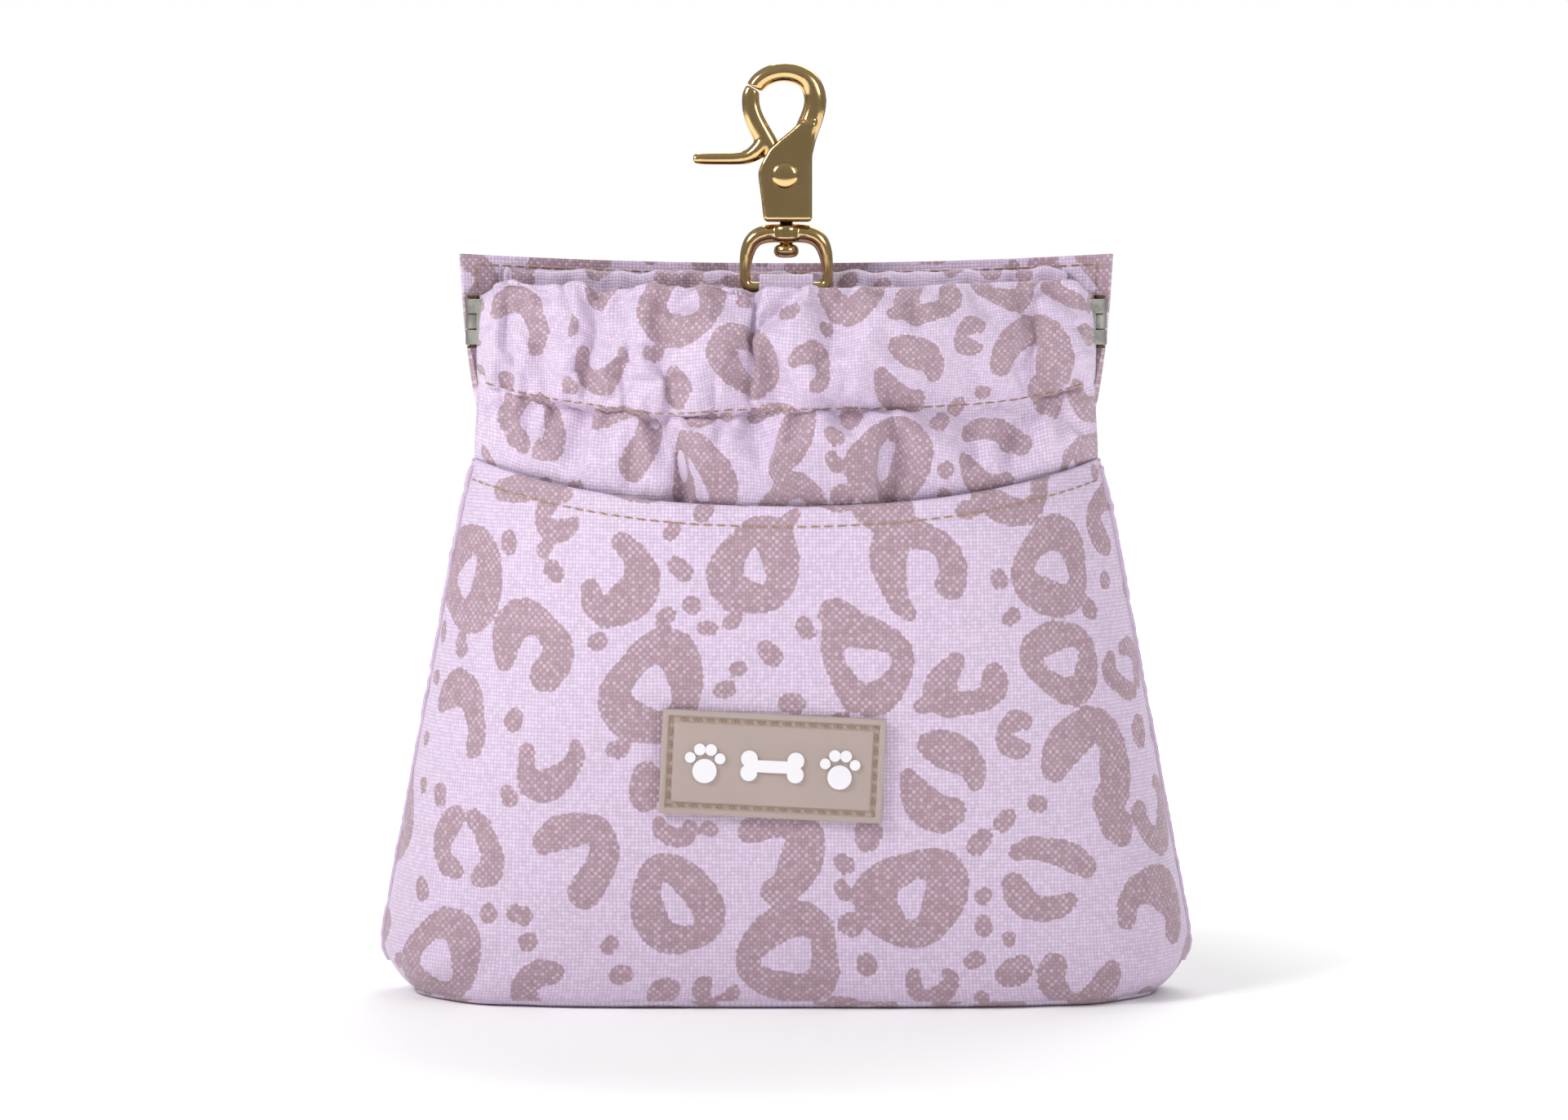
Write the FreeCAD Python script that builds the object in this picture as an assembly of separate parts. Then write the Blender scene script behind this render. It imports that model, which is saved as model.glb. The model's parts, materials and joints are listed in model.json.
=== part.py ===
"""Treat pouch: a gathered fabric bag on an internal flex frame, with a slip pocket and a swivel trigger hook.

Millimetres. +Z is up, the pocket faces -Y, and the origin is on the floor under the middle of the pouch.
Every soft piece is a plain closed solid of the right size. Every metal piece has its working shape.
"""

import FreeCAD, Part
import math
import os

V = FreeCAD.Vector

# ---- cloth ----
POCKET_T = 1.6          # pocket panel, hem included
PANEL_T = 1.8           # back panel: two layers of cloth round a stiffener
WALL_T = 1.4            # front wall
LINING_T = 0.8
CLEAR = 0.3             # between one layer of cloth and the next
BASE_T = 2.0

# ---- the label, which stands furthest forward ----
LABEL_W, LABEL_H, LABEL_T = 48.0, 22.5, 1.6
LABEL_RIM, LABEL_GROOVE, LABEL_GROOVE_T = 1.3, 1.3, 0.7
LABEL_X, LABEL_Z, LABEL_TURN = -3.0, 54.0, 2.8
MOTIF_T = 0.6

# ---- the bag's envelope ----
BELLY, BACK_BELLY = 32.0, 20.0
SEAM_Y = (BELLY + LABEL_T + MOTIF_T - BACK_BELLY) / 2   # side seams, so that the origin is central
# Each section: height, half width at the seams, depth from the seams, and the crown's two exponents.
POCKET = [(2, 84, 27, 5, .5), (10, 89.4, 30, 4.5, .5), (30, 86.2, BELLY, 4, .55),
          (60, 80.2, BELLY, 3.5, .6), (90, 74.6, 30, 3, .7), (123, 68.4, 26.5, 2.6, .8)]
PANEL = [(2, 84, 18, 5, .5), (10, 89.4, 19, 4.5, .5), (30, 86.2, BACK_BELLY, 4, .55),
         (60, 80.2, 19.5, 3.5, .6), (90, 74.6, 17, 3, .7), (121, 67.4, 13.5, 2.4, .85),
         (148, 71.2, 12.5, 2, .95), (166, 72.3, 12, 2, .95)]
WALL_DEPTH = 18.0
WALL = [(2, 82, WALL_DEPTH, 5, .5), (10, 87.4, WALL_DEPTH, 4.5, .5), (30, 84.2, WALL_DEPTH, 4, .55),
        (60, 78.2, WALL_DEPTH, 3.5, .6), (90, 72.6, WALL_DEPTH, 3, .7), (112, 67.6, WALL_DEPTH, 2.6, .85),
        (130, 65.4, 19.5, 2.2, .95)]
LINING_TOP = 126.0
POCKET_MOUTH_Z, POCKET_CORNER_Z = 110.5, 119.0
PANEL_TOP_Z, PANEL_CORNER_Z = 161.8, 163.8
SEAM_TAPE_W, SEAM_TAPE_T, SEAM_TAPE_IN = 1.0, 1.2, -0.2

# ---- the flex frame ----
FRAME_Z, STRIP_H, STRIP_T = 149.0, 10.0, 0.4
PIN_X, PIN_Y, PIN_R = 69.0, SEAM_Y - 3.2, 0.9
PIN_H, PIN_HEAD_R, PIN_HEAD_H = 10.6, 1.3, 0.5
KNUCKLE_R, RUNNING = 1.7, 0.05
BOW_HALF = 68.0         # from the middle of a strip to where it enters its hinge
FRONT_BOW, BACK_BOW = 21.0, 7.0
LEAF_FROM, LEAF_TO, LEAF_OFFSET, LEAF_T, LEAF_SLOT = 2.0, 9.0, 1.0, 0.6, 0.6
FRONT_CASING_Z, BACK_CASING_Z = (130.4, 157.8), (136.0, 159.2)
CASING_HALF_T, CASING_SLOT = 2.8, 2.6
FRONT_CASING_HALF, BACK_CASING_HALF = 66.5, 58.5

# ---- the hook ----
TAB_W, TAB_LAYERS_T, TAB_FOOT_Z = 12.0, 2.8, 138.0
BAR_Z, BAR_R, BAR_GAP, TAB_T = 156.5, 1.35, 0.3, 1.4
TAB_R = BAR_R + BAR_GAP + TAB_T
EYE_LEG_X, EYE_CORNER, EYE_SHOULDER = 8.5, 2.3, 4.2
EYE_TOP_Z, EYE_HUB_R, EYE_HUB_H = 168.2, 3.2, 3.4
STUD_R, STUD_HEAD_R, STUD_HEAD_H, STUD_GRIP = 1.5, 2.65, 2.6, 1.9
HOOK_FOOT_Z, HOOK_HALF_T, HOOK_SLOT_HALF = 170.6, 3.3, 1.7
LOOP_X, LOOP_Z, LOOP_R, LOOP_WIRE_R = 0.2, 197.6, 6.2, 2.2
LIMB_ANGLE, NOSE_ANGLE = -12.0, 152.0
RIVET_X, RIVET_Z, RIVET_R, RIVET_HEAD_R, RIVET_HEAD_H = -0.3, 181.0, 1.4, 3.0, 1.0
GATE_HALF_T, GATE_HUB_HALF_T, GATE_ARM_HALF_T, GATE_HUB_R = 1.45, 1.55, 1.9, 3.4
LEVER_Z, LEVER_R, LEVER_TIP_X = 185.0, 1.35, -20.6

# ---- thread ----
STITCH_L, STITCH_W, STITCH_T, STITCH_PITCH = 2.4, 0.5, 0.4, 3.2


def front_path_y(x, offset=0.0):
    """The front strip's bow."""
    return PIN_Y - front_offset() - FRONT_BOW * math.cos(math.pi * x / 2 / BOW_HALF) + offset


def back_path_y(x, offset=0.0):
    """The back strip's bow."""
    return PIN_Y + back_offset() + BACK_BOW * math.cos(math.pi * x / 2 / BOW_HALF) + offset


def end_angle(bow):
    """The angle between a strip's end and the line through the two hinge pins, in radians."""
    return math.atan(bow * math.pi / 2 / BOW_HALF)


def hinge_offset(bow):
    """How far before or behind the pins a strip starts, so that its leaf clears the pin."""
    a = end_angle(bow)
    return (LEAF_OFFSET + (PIN_X - BOW_HALF) * math.sin(a)) / math.cos(a)


def front_offset():
    return hinge_offset(FRONT_BOW)


def back_offset():
    return hinge_offset(BACK_BOW)


BACK_FACE_Y = back_path_y(0) - CASING_HALF_T            # the front of the back casing
EYE_Y = BACK_FACE_Y - CLEAR - TAB_R                     # the plane of the eye and the hook


def save(name, shape):
    """Writes one sub-part."""
    shape.exportStep("parts/" + name + ".step")


def curve(points):
    c = Part.BSplineCurve()
    c.interpolate(points)
    return c.toShape()


def crown(section, side, inset=0.0, steps=14):
    """One cross-section of a wall, from the left seam to the right one; side is -1 in front and 1 behind."""
    z, half, depth, p, q = section
    points = []
    for i in range(steps + 1):
        s = math.sin(math.pi * (i / steps - 0.5))
        rise = max(0.0, 1 - abs(s) ** p) ** q
        points.append(V((half - inset) * s, SEAM_Y + side * (depth - inset) * rise, z))
    return curve(points)


def wall(sections, side, thickness):
    """A lofted wall of cloth between the seams."""
    wires = []
    for section in sections:
        outer, inner = crown(section, side), crown(section, side, thickness)
        a, b = outer.Vertexes[0].Point, inner.Vertexes[0].Point
        c, d = outer.Vertexes[-1].Point, inner.Vertexes[-1].Point
        wires.append(Part.Wire([outer, Part.makeLine(c, d), inner, Part.makeLine(b, a)]))
    return Part.makeLoft(wires, True, False)


def ring(front, back, inset):
    """A closed cross-section: the front crown and the back crown."""
    return Part.Wire([crown(front, -1, inset), crown(back, 1, inset)])


def above(middle_z, corner_z, y0, y1):
    """Everything above an arc that dips in the middle."""
    far = 80.0
    rise = (corner_z - middle_z) * (far / PANEL[-1][1]) ** 2
    arc = Part.Arc(V(-far, y0, middle_z + rise), V(0, y0, middle_z), V(far, y0, middle_z + rise)).toShape()
    top = middle_z + 40
    rest = [V(far, y0, middle_z + rise), V(far, y0, top), V(-far, y0, top), V(-far, y0, middle_z + rise)]
    face = Part.Face(Part.Wire([arc] + Part.makePolygon(rest).Edges))
    return face.extrude(V(0, y1 - y0, 0))


def band(path, half, t0, t1, z0, z1, steps=16):
    """A bowed band that stands upright, between two offsets of a bow."""
    xs = [half * math.sin(math.pi * (i / steps - 0.5)) for i in range(steps + 1)]
    near, far = curve([V(x, path(x, t0), z0) for x in xs]), curve([V(x, path(x, t1), z0) for x in xs])
    ends = [Part.makeLine(near.Vertexes[-1].Point, far.Vertexes[-1].Point),
            Part.makeLine(far.Vertexes[0].Point, near.Vertexes[0].Point)]
    return Part.Face(Part.Wire([near, ends[0], far, ends[1]])).extrude(V(0, 0, z1 - z0))


def block(x0, x1, y0, y1, z0, z1):
    return Part.makeBox(x1 - x0, y1 - y0, z1 - z0, V(x0, y0, z0))


def plate(points, y, half_t, corner=0.0):
    """A flat outline in XZ given a thickness about the plane at y, its corners rounded if asked."""
    outline = [V(x, y - half_t, z) for x, z in points]
    shape = Part.Face(Part.makePolygon(outline + outline[:1])).extrude(V(0, 2 * half_t, 0))
    if corner:
        across = [e for e in shape.Edges if abs(e.tangentAt(e.FirstParameter).y) > 0.99]
        shape = shape.makeFillet(corner, across)
    return shape


def bent_rod(centre, bend_r, wire_r, start, end):
    """A round rod bent along an arc in the XZ plane, from one angle above +X to another."""
    at = lambda degrees: centre + bend_r * V(math.cos(math.radians(degrees)), 0, math.sin(math.radians(degrees)))
    path = Part.Wire(Part.Arc(at(start), at((start + end) / 2), at(end)).toShape())
    along = V(-math.sin(math.radians(start)), 0, math.cos(math.radians(start)))
    return path.makePipeShell([Part.Wire(Part.makeCircle(wire_r, at(start), along))], True, True)


def rod(x, y, z0, z1, r):
    return Part.makeCylinder(r, z1 - z0, V(x, y, z0))


def stitches(points):
    """A row of separate stitches laid along points, each a small bar in line with the row."""
    bars, along, travelled = [], 0.0, 0.0
    for a, b in zip(points, points[1:]):
        step = (b - a).Length
        while along < travelled + step:
            at, d = a + (b - a) * ((along - travelled) / step), (b - a).normalize()
            bar = block(-STITCH_L / 2, STITCH_L / 2, -STITCH_T / 2, STITCH_T / 2, -STITCH_W / 2, STITCH_W / 2)
            bar.Placement = FreeCAD.Placement(at, FreeCAD.Rotation(V(1, 0, 0), d))
            bars.append(bar)
            along += STITCH_PITCH
        travelled += step
    return Part.makeCompound(bars)


def crown_y(sections, side, x, z):
    """Where a wall's outer face is at x and z, between its sections."""
    for a, b in zip(sections, sections[1:]):
        if a[0] <= z <= b[0]:
            t = (z - a[0]) / (b[0] - a[0])
            half, depth, p, q = [m + (n - m) * t for m, n in zip(a[1:], b[1:])]
            return SEAM_Y + side * depth * max(0.0, 1 - abs(x / half) ** p) ** q
    raise ValueError("z is outside the wall")


# ---------------------------------------------------------------- soft pieces

def bag():
    save("front_pocket", wall(POCKET, -1, POCKET_T).cut(above(POCKET_MOUTH_Z, POCKET_CORNER_Z, -60, 40)))
    save("back_panel", wall(PANEL, 1, PANEL_T).cut(above(PANEL_TOP_Z, PANEL_CORNER_Z, -60, 60)))
    save("front_wall", wall(WALL, -1, WALL_T))
    foot_inset = 3.5
    low_front, low_back = list(POCKET[0]), list(PANEL[0])
    low_front[0] = low_back[0] = 0
    save("base_panel", Part.makeLoft([ring(low_front, low_back, foot_inset),
                                      ring([BASE_T] + low_front[1:], [BASE_T] + low_back[1:], 0)], True, True))
    lining()
    for name, side in (("left_seam_tape", -1), ("right_seam_tape", 1)):
        save(name, seam_tape(side))


def lining():
    """The loose inner bag, open at the top."""
    gap = WALL_T + CLEAR
    levels = [BASE_T + 0.1, 10, 30, 60, 90, LINING_TOP]
    front = [(z, section_at(WALL, z, 1), WALL_DEPTH, section_at(WALL, z, 3), section_at(WALL, z, 4))
             for z in levels]
    back = [(z, section_at(WALL, z, 1), section_at(PANEL, z, 2) - 0.6, section_at(PANEL, z, 3),
             section_at(PANEL, z, 4)) for z in levels]
    outer = Part.makeLoft([ring(f, b, gap) for f, b in zip(front, back)], True, False)
    inner_front = [(levels[0] + LINING_T,) + front[0][1:]] + front[1:]
    inner_back = [(levels[0] + LINING_T,) + back[0][1:]] + back[1:]
    inner = Part.makeLoft([ring(f, b, gap + LINING_T) for f, b in zip(inner_front, inner_back)], True, False)
    save("lining", outer.cut(inner))


def section_at(sections, z, k):
    """A section's value at any height, in straight lines between the given ones."""
    for a, b in zip(sections, sections[1:]):
        if a[0] <= z <= b[0]:
            return a[k] + (b[k] - a[k]) * (z - a[0]) / (b[0] - a[0])
    raise ValueError("z is outside the sections")


def seam_tape(side):
    """The bound seam allowance that stands out along one side, from the bottom corner to the pocket's mouth."""
    wires = []
    for z, half, *_ in POCKET[1:]:
        xs = [side * (half + SEAM_TAPE_IN), side * (half + SEAM_TAPE_IN + SEAM_TAPE_W)]
        ys = [SEAM_Y - SEAM_TAPE_T / 2, SEAM_Y + SEAM_TAPE_T / 2]
        corners = [V(xs[0], ys[0], z), V(xs[1], ys[0], z), V(xs[1], ys[1], z), V(xs[0], ys[1], z)]
        wires.append(Part.makePolygon(corners + corners[:1]))
    tape = Part.makeLoft(wires, True, False)
    return tape.cut(block(-100, 100, -60, 60, POCKET_CORNER_Z - 2, 140))


def casings():
    """The two channels of gathered cloth that the spring strips lie in."""
    for name, path, half, heights in (("front_casing", front_path_y, FRONT_CASING_HALF, FRONT_CASING_Z),
                                      ("back_casing", back_path_y, BACK_CASING_HALF, BACK_CASING_Z)):
        z0, z1 = heights
        channel = (FRAME_Z - STRIP_H / 2 - 1, FRAME_Z + STRIP_H / 2 + 1)
        outer = band(path, half, -CASING_HALF_T, CASING_HALF_T, z0, z1)
        slot = band(path, half + 2, -CASING_SLOT / 2, CASING_SLOT / 2, *channel)
        save(name, outer.cut(slot))


def tab():
    """The folded strap round the eye's bar, its two layers sewn together below the bar."""
    join_z = BAR_Z - 2.6 * TAB_R
    back_y = BACK_FACE_Y - CLEAR
    lower = [(back_y, join_z), (back_y, TAB_FOOT_Z), (back_y - TAB_LAYERS_T, TAB_FOOT_Z),
             (back_y - TAB_LAYERS_T, join_z), (EYE_Y - TAB_R, BAR_Z), (back_y, BAR_Z)]
    points = [V(-TAB_W / 2, y, z) for y, z in lower]
    foot = Part.Face(Part.makePolygon(points + points[:1])).extrude(V(TAB_W, 0, 0))
    loop = Part.makeCylinder(TAB_R, TAB_W, V(-TAB_W / 2, EYE_Y, BAR_Z), V(1, 0, 0))
    hole = Part.makeCylinder(BAR_R + BAR_GAP, TAB_W + 2, V(-TAB_W / 2 - 1, EYE_Y, BAR_Z), V(1, 0, 0))
    save("hanging_tab", foot.fuse(loop).cut(hole).removeSplitter())
    inset = 1.4
    rows = []
    for side in (-1, 1):
        x = side * (TAB_W / 2 - inset)
        rows.append(stitches([V(x, back_y - TAB_LAYERS_T, join_z - 1.5),
                              V(x, back_y - TAB_LAYERS_T, TAB_FOOT_Z + 1)]))
    save("tab_stitching", Part.makeCompound([bar for row in rows for bar in row.Solids]))


def label():
    """The moulded label: a rim, a groove for the thread, a raised field, and a paw motif on it."""
    back_y = SEAM_Y - BELLY
    half_w, half_h = LABEL_W / 2, LABEL_H / 2
    body = block(-half_w, half_w, back_y - LABEL_T, back_y, -half_h, half_h)
    a, b = LABEL_RIM, LABEL_RIM + LABEL_GROOVE
    groove = block(-half_w + a, half_w - a, back_y - LABEL_T - 1, back_y - LABEL_GROOVE_T, -half_h + a, half_h - a)
    field = block(-half_w + b, half_w - b, back_y - LABEL_T, back_y, -half_h + b, half_h - b)
    body = body.cut(groove).fuse(field).removeSplitter()
    turned("label_patch", body)
    pads = []
    for centre in (-14.5, 14.5):
        pads += paw(centre, 0.0, 1.0, back_y - LABEL_T)
    pads += bone(back_y - LABEL_T)
    turned("label_motif", Part.makeCompound(pads))
    mid = (a + b) / 2
    x, z, y = half_w - mid, half_h - mid, back_y - LABEL_GROOVE_T
    rows = [stitches([V(-x + 1.6, y, s * z), V(x - 1.6, y, s * z)]) for s in (-1, 1)]
    rows += [stitches([V(s * x, y, -z + 1.6), V(s * x, y, z - 1.6)]) for s in (-1, 1)]
    turned("label_stitching", Part.makeCompound([bar for row in rows for bar in row.Solids]))


def paw(x, z, k, y):
    """A main pad and four toes, each a low disc."""
    spots = [(0, -1.6, 2.6), (-3.2, 1.2, 1.15), (-1.2, 3.0, 1.25), (1.2, 3.0, 1.25), (3.2, 1.2, 1.15)]
    return [Part.makeCylinder(k * r, MOTIF_T, V(x + k * dx, y - MOTIF_T, z + k * dz), V(0, 1, 0))
            for dx, dz, r in spots]


def bone(y):
    """A bar with two knobs at each end."""
    shape = block(-4.5, 4.5, y - MOTIF_T, y, -1.3, 1.3)
    for sx in (-1, 1):
        for sz in (-1, 1):
            shape = shape.fuse(Part.makeCylinder(1.8, MOTIF_T, V(sx * 5.0, y - MOTIF_T, sz * 1.5), V(0, 1, 0)))
    return [shape.removeSplitter()]


def turned(name, shape):
    """Sets a piece of the label in its place, a little askew."""
    shape.rotate(V(0, 0, 0), V(0, 1, 0), LABEL_TURN)
    shape.translate(V(LABEL_X, 0, LABEL_Z))
    save(name, shape)


def topstitching():
    """The visible rows of thread on the cloth."""
    hem_drop, edge_in, n = 4.0, 2.8, 60
    span = POCKET[-1][1] - 3
    xs = [span * (2 * i / n - 1) for i in range(n + 1)]
    dip = lambda x: POCKET_MOUTH_Z + (POCKET_CORNER_Z - POCKET_MOUTH_Z) * (x / PANEL[-1][1]) ** 2 - hem_drop
    save("pocket_topstitch", stitches([V(x, crown_y(POCKET, -1, x, dip(x)), dip(x)) for x in xs]))
    row_z = FRONT_CASING_Z[0] + 1.2
    span = FRONT_CASING_HALF - 2
    save("casing_topstitch", stitches([V(span * (2 * i / n - 1), front_path_y(span * (2 * i / n - 1),
                                                                         -CASING_HALF_T), row_z)
                                       for i in range(n + 1)]))
    inner = lambda x, z: crown_y(PANEL, 1, x, z) - PANEL_T
    top = PANEL_TOP_Z - 1.6
    side_x = lambda z: section_at(PANEL, z, 1) - edge_in - 1.2
    left = [V(-side_x(z), inner(-side_x(z), z), z) for z in (126, 134, 142, 150, top)]
    across = [V(x, inner(x, top), top) for x in [side_x(top) * (2 * i / n - 1) for i in range(n + 1)]]
    save("panel_topstitch", stitches(left + across + [V(-p.x, p.y, p.z) for p in reversed(left)]))


# ---------------------------------------------------------------- the flex frame

def leaf(side, front):
    """One hinge leaf: knuckles on the pin, and a folded clip that grips the end of a strip."""
    z0, z1 = FRAME_Z - STRIP_H / 2, FRAME_Z + STRIP_H / 2
    third, play = STRIP_H / 3, 0.15
    spans = [(z0, z0 + third - play), (z1 - third + play, z1)] if front else [(z0 + third + play, z1 - third - play)]
    n0 = -LEAF_OFFSET - LEAF_SLOT / 2 - LEAF_T
    shape = block(LEAF_FROM, LEAF_TO, n0, n0 + 2 * LEAF_T + LEAF_SLOT, z0, z1)
    slot = block(LEAF_FROM + LEAF_T, LEAF_TO + 1, n0 + LEAF_T, n0 + LEAF_T + LEAF_SLOT, z0 - 1, z1 + 1)
    shape = shape.cut(slot)
    for a, b in spans:
        tongue = block(0, LEAF_FROM + 0.2, -KNUCKLE_R, -KNUCKLE_R + LEAF_T, a, b)
        shape = shape.fuse(rod(0, 0, a, b, KNUCKLE_R)).fuse(tongue)
        shape = shape.cut(rod(0, 0, a, b, PIN_R + (RUNNING if front else 0.02)))
    shape = shape.removeSplitter()
    bow = FRONT_BOW if front else BACK_BOW
    if not front:
        shape = shape.mirror(V(0, 0, 0), V(0, 1, 0))
    turn = -math.degrees(end_angle(bow)) if front else math.degrees(end_angle(bow))
    shape.rotate(V(0, 0, 0), V(0, 0, 1), turn)
    shape.translate(V(-PIN_X, PIN_Y, 0))
    return shape if side < 0 else shape.mirror(V(0, 0, 0), V(1, 0, 0))


def flex_frame():
    z0, z1 = FRAME_Z - STRIP_H / 2, FRAME_Z + STRIP_H / 2
    reach = PIN_X - (LEAF_FROM + LEAF_T + 0.6)
    save("front_spring_strip", band(front_path_y, reach - 0.4, -STRIP_T / 2, STRIP_T / 2, z0, z1))
    save("back_spring_strip", band(back_path_y, reach, -STRIP_T / 2, STRIP_T / 2, z0, z1))
    for word, side in (("left", -1), ("right", 1)):
        save("front_" + word + "_hinge_leaf", leaf(side, True))
        save("back_" + word + "_hinge_leaf", leaf(side, False))
        pin = rod(side * PIN_X, PIN_Y, FRAME_Z - PIN_H / 2, FRAME_Z + PIN_H / 2, PIN_R)
        for z in (FRAME_Z - PIN_H / 2 - PIN_HEAD_H, FRAME_Z + PIN_H / 2):
            pin = pin.fuse(rod(side * PIN_X, PIN_Y, z, z + PIN_HEAD_H, PIN_HEAD_R))
        save(word + "_hinge_pin", pin.removeSplitter())


# ---------------------------------------------------------------- the hook

def swivel_eye():
    """A rounded ring with a bored hub on top."""
    x, c, s = EYE_LEG_X, EYE_CORNER, EYE_SHOULDER
    k = math.sqrt(0.5)
    low, high = BAR_Z, EYE_TOP_Z
    corner = lambda cx, cz, r, sx, sz: V(cx + sx * r * k, EYE_Y, cz + sz * r * k)
    p = [V(-x + c, EYE_Y, low), V(x - c, EYE_Y, low), V(x, EYE_Y, low + c), V(x, EYE_Y, high - s),
         V(x - s, EYE_Y, high), V(-x + s, EYE_Y, high), V(-x, EYE_Y, high - s), V(-x, EYE_Y, low + c)]
    edges = [Part.makeLine(p[0], p[1]),
             Part.Arc(p[1], corner(x - c, low + c, c, 1, -1), p[2]).toShape(), Part.makeLine(p[2], p[3]),
             Part.Arc(p[3], corner(x - s, high - s, s, 1, 1), p[4]).toShape(), Part.makeLine(p[4], p[5]),
             Part.Arc(p[5], corner(-x + s, high - s, s, -1, 1), p[6]).toShape(), Part.makeLine(p[6], p[7]),
             Part.Arc(p[7], corner(-x + c, low + c, c, -1, -1), p[0]).toShape()]
    circle = Part.Wire(Part.makeCircle(BAR_R, V(0, EYE_Y, low), V(1, 0, 0)))
    mid = V(0, EYE_Y, low)
    edges = [Part.makeLine(mid, p[1])] + edges[1:] + [Part.makeLine(p[0], mid)]
    tube = Part.Wire(edges).makePipeShell([circle], True, True)
    hub = rod(0, EYE_Y, EYE_TOP_Z - EYE_HUB_H / 2, EYE_TOP_Z + EYE_HUB_H / 2, EYE_HUB_R)
    arm = plate([(-6.4, EYE_TOP_Z - 1.1), (6.4, EYE_TOP_Z - 1.1), (5.2, EYE_TOP_Z + 1.5), (-5.2, EYE_TOP_Z + 1.5)],
                EYE_Y, 2.0)
    bore = rod(0, EYE_Y, EYE_TOP_Z - 5, EYE_TOP_Z + 5, STUD_R + RUNNING)
    save("swivel_eye", tube.fuse(hub).fuse(arm).cut(bore).removeSplitter())
    web_low = EYE_TOP_Z - EYE_HUB_H / 2
    head_top = web_low - 0.5
    stud = rod(0, EYE_Y, head_top - 0.1, HOOK_FOOT_Z + STUD_GRIP, STUD_R)
    head = rod(0, EYE_Y, head_top - STUD_HEAD_H, head_top, STUD_HEAD_R)
    rim = [e for e in head.Edges if len(e.Vertexes) == 1]
    save("swivel_stud", stud.fuse(head.makeFillet(0.8, rim)).removeSplitter())


def body_outline():
    """The hook's flat body, from its foot up its right side and back down its left."""
    return [(-4.9, HOOK_FOOT_Z), (5.0, HOOK_FOOT_Z), (5.6, 175.5), (5.8, 184.0), (6.2, 189.5), (7.4, 193.2),
            (8.3, 196.4), (4.1, 196.8), (3.6, 194.6), (2.4, 192.8), (0.4, 191.2), (-1.8, 189.3), (-4.1, 186.9),
            (-5.2, 184.8), (-5.6, 182.0), (-5.3, 176.0)]


def hook():
    body = plate(body_outline(), EYE_Y, HOOK_HALF_T, 0.6)
    thin_z = 190.0
    cheek = block(-12, 12, EYE_Y - 6, EYE_Y - LOOP_WIRE_R, thin_z, 200)
    back_cheek = block(-12, 12, EYE_Y + LOOP_WIRE_R, EYE_Y + 6, thin_z, 200)
    body = body.cut(cheek).cut(back_cheek)
    loop = bent_rod(V(LOOP_X, EYE_Y, LOOP_Z), LOOP_R, LOOP_WIRE_R, LIMB_ANGLE, NOSE_ANGLE)
    slot = plate([(-9, 172.6), (3.6, 172.6), (3.6, 186.0), (1.0, 188.4), (-1.6, 192.5), (-9, 192.5)],
                 EYE_Y, HOOK_SLOT_HALF)
    rivet_hole = Part.makeCylinder(RIVET_R + 0.02, 20, V(RIVET_X, EYE_Y - 10, RIVET_Z), V(0, 1, 0))
    stud_hole = rod(0, EYE_Y, HOOK_FOOT_Z - 1, HOOK_FOOT_Z + STUD_GRIP, STUD_R + 0.02)
    body = body.fuse(loop).cut(slot).cut(rivet_hole).cut(stud_hole).removeSplitter()
    save("hook_body", body)

    rivet = Part.makeCylinder(RIVET_R, 2 * HOOK_HALF_T, V(RIVET_X, EYE_Y - HOOK_HALF_T, RIVET_Z), V(0, 1, 0))
    dome_r = (RIVET_HEAD_R ** 2 + RIVET_HEAD_H ** 2) / 2 / RIVET_HEAD_H
    for side in (-1, 1):
        face = EYE_Y + side * HOOK_HALF_T
        ball = Part.makeSphere(dome_r, V(RIVET_X, face + side * (RIVET_HEAD_H - dome_r), RIVET_Z))
        keep = block(-9, 9, min(face, face + side * 3), max(face, face + side * 3), RIVET_Z - 9, RIVET_Z + 9)
        rivet = rivet.fuse(ball.common(keep))
    save("gate_rivet", rivet.removeSplitter())


def gate():
    """The trigger: a hub on the rivet, an arm that meets the nose, and a thumb lever."""
    hub = Part.makeCylinder(GATE_HUB_R, 2 * GATE_HUB_HALF_T, V(RIVET_X, EYE_Y - GATE_HUB_HALF_T, RIVET_Z),
                            V(0, 1, 0))
    root = plate([(-3.0, 179.6), (2.0, 183.0), (-2.6, 188.4), (-6.4, 190.0), (-7.2, 186.6), (-6.4, 183.8)],
                 EYE_Y, GATE_HALF_T)
    arm = plate([(-7.7, 187.2), (-5.6, 187.4), (-3.9, 190.2), (-5.4, 193.0), (-6.2, 196.0), (-5.8, 199.0),
                 (-6.0, 199.9), (-8.9, 201.2), (-9.7, 199.2), (-9.9, 196.2), (-9.1, 193.2), (-7.9, 190.2)],
                EYE_Y, GATE_ARM_HALF_T)
    lever = Part.makeCylinder(LEVER_R, -5.2 - LEVER_TIP_X, V(LEVER_TIP_X, EYE_Y, LEVER_Z), V(1, 0, 0))
    shape = hub.fuse(root).fuse(arm).fuse(lever)
    bore = Part.makeCylinder(RIVET_R + RUNNING, 20, V(RIVET_X, EYE_Y - 10, RIVET_Z), V(0, 1, 0))
    save("trigger_gate", shape.cut(bore).removeSplitter())


def gate_spring():
    """The coil under the gate's hub."""
    coil_r, wire_r, pitch, turns = 1.0, 0.22, 0.85, 4.5
    helix = Part.makeHelix(pitch, pitch * turns, coil_r)
    ring_wire = Part.Wire(Part.makeCircle(wire_r, V(coil_r, 0, 0), V(0, 1, 0)))
    coil = Part.Wire(helix).makePipeShell([ring_wire], True, True)
    coil.translate(V(RIVET_X, EYE_Y, 173.1))
    save("gate_spring", coil)


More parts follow.
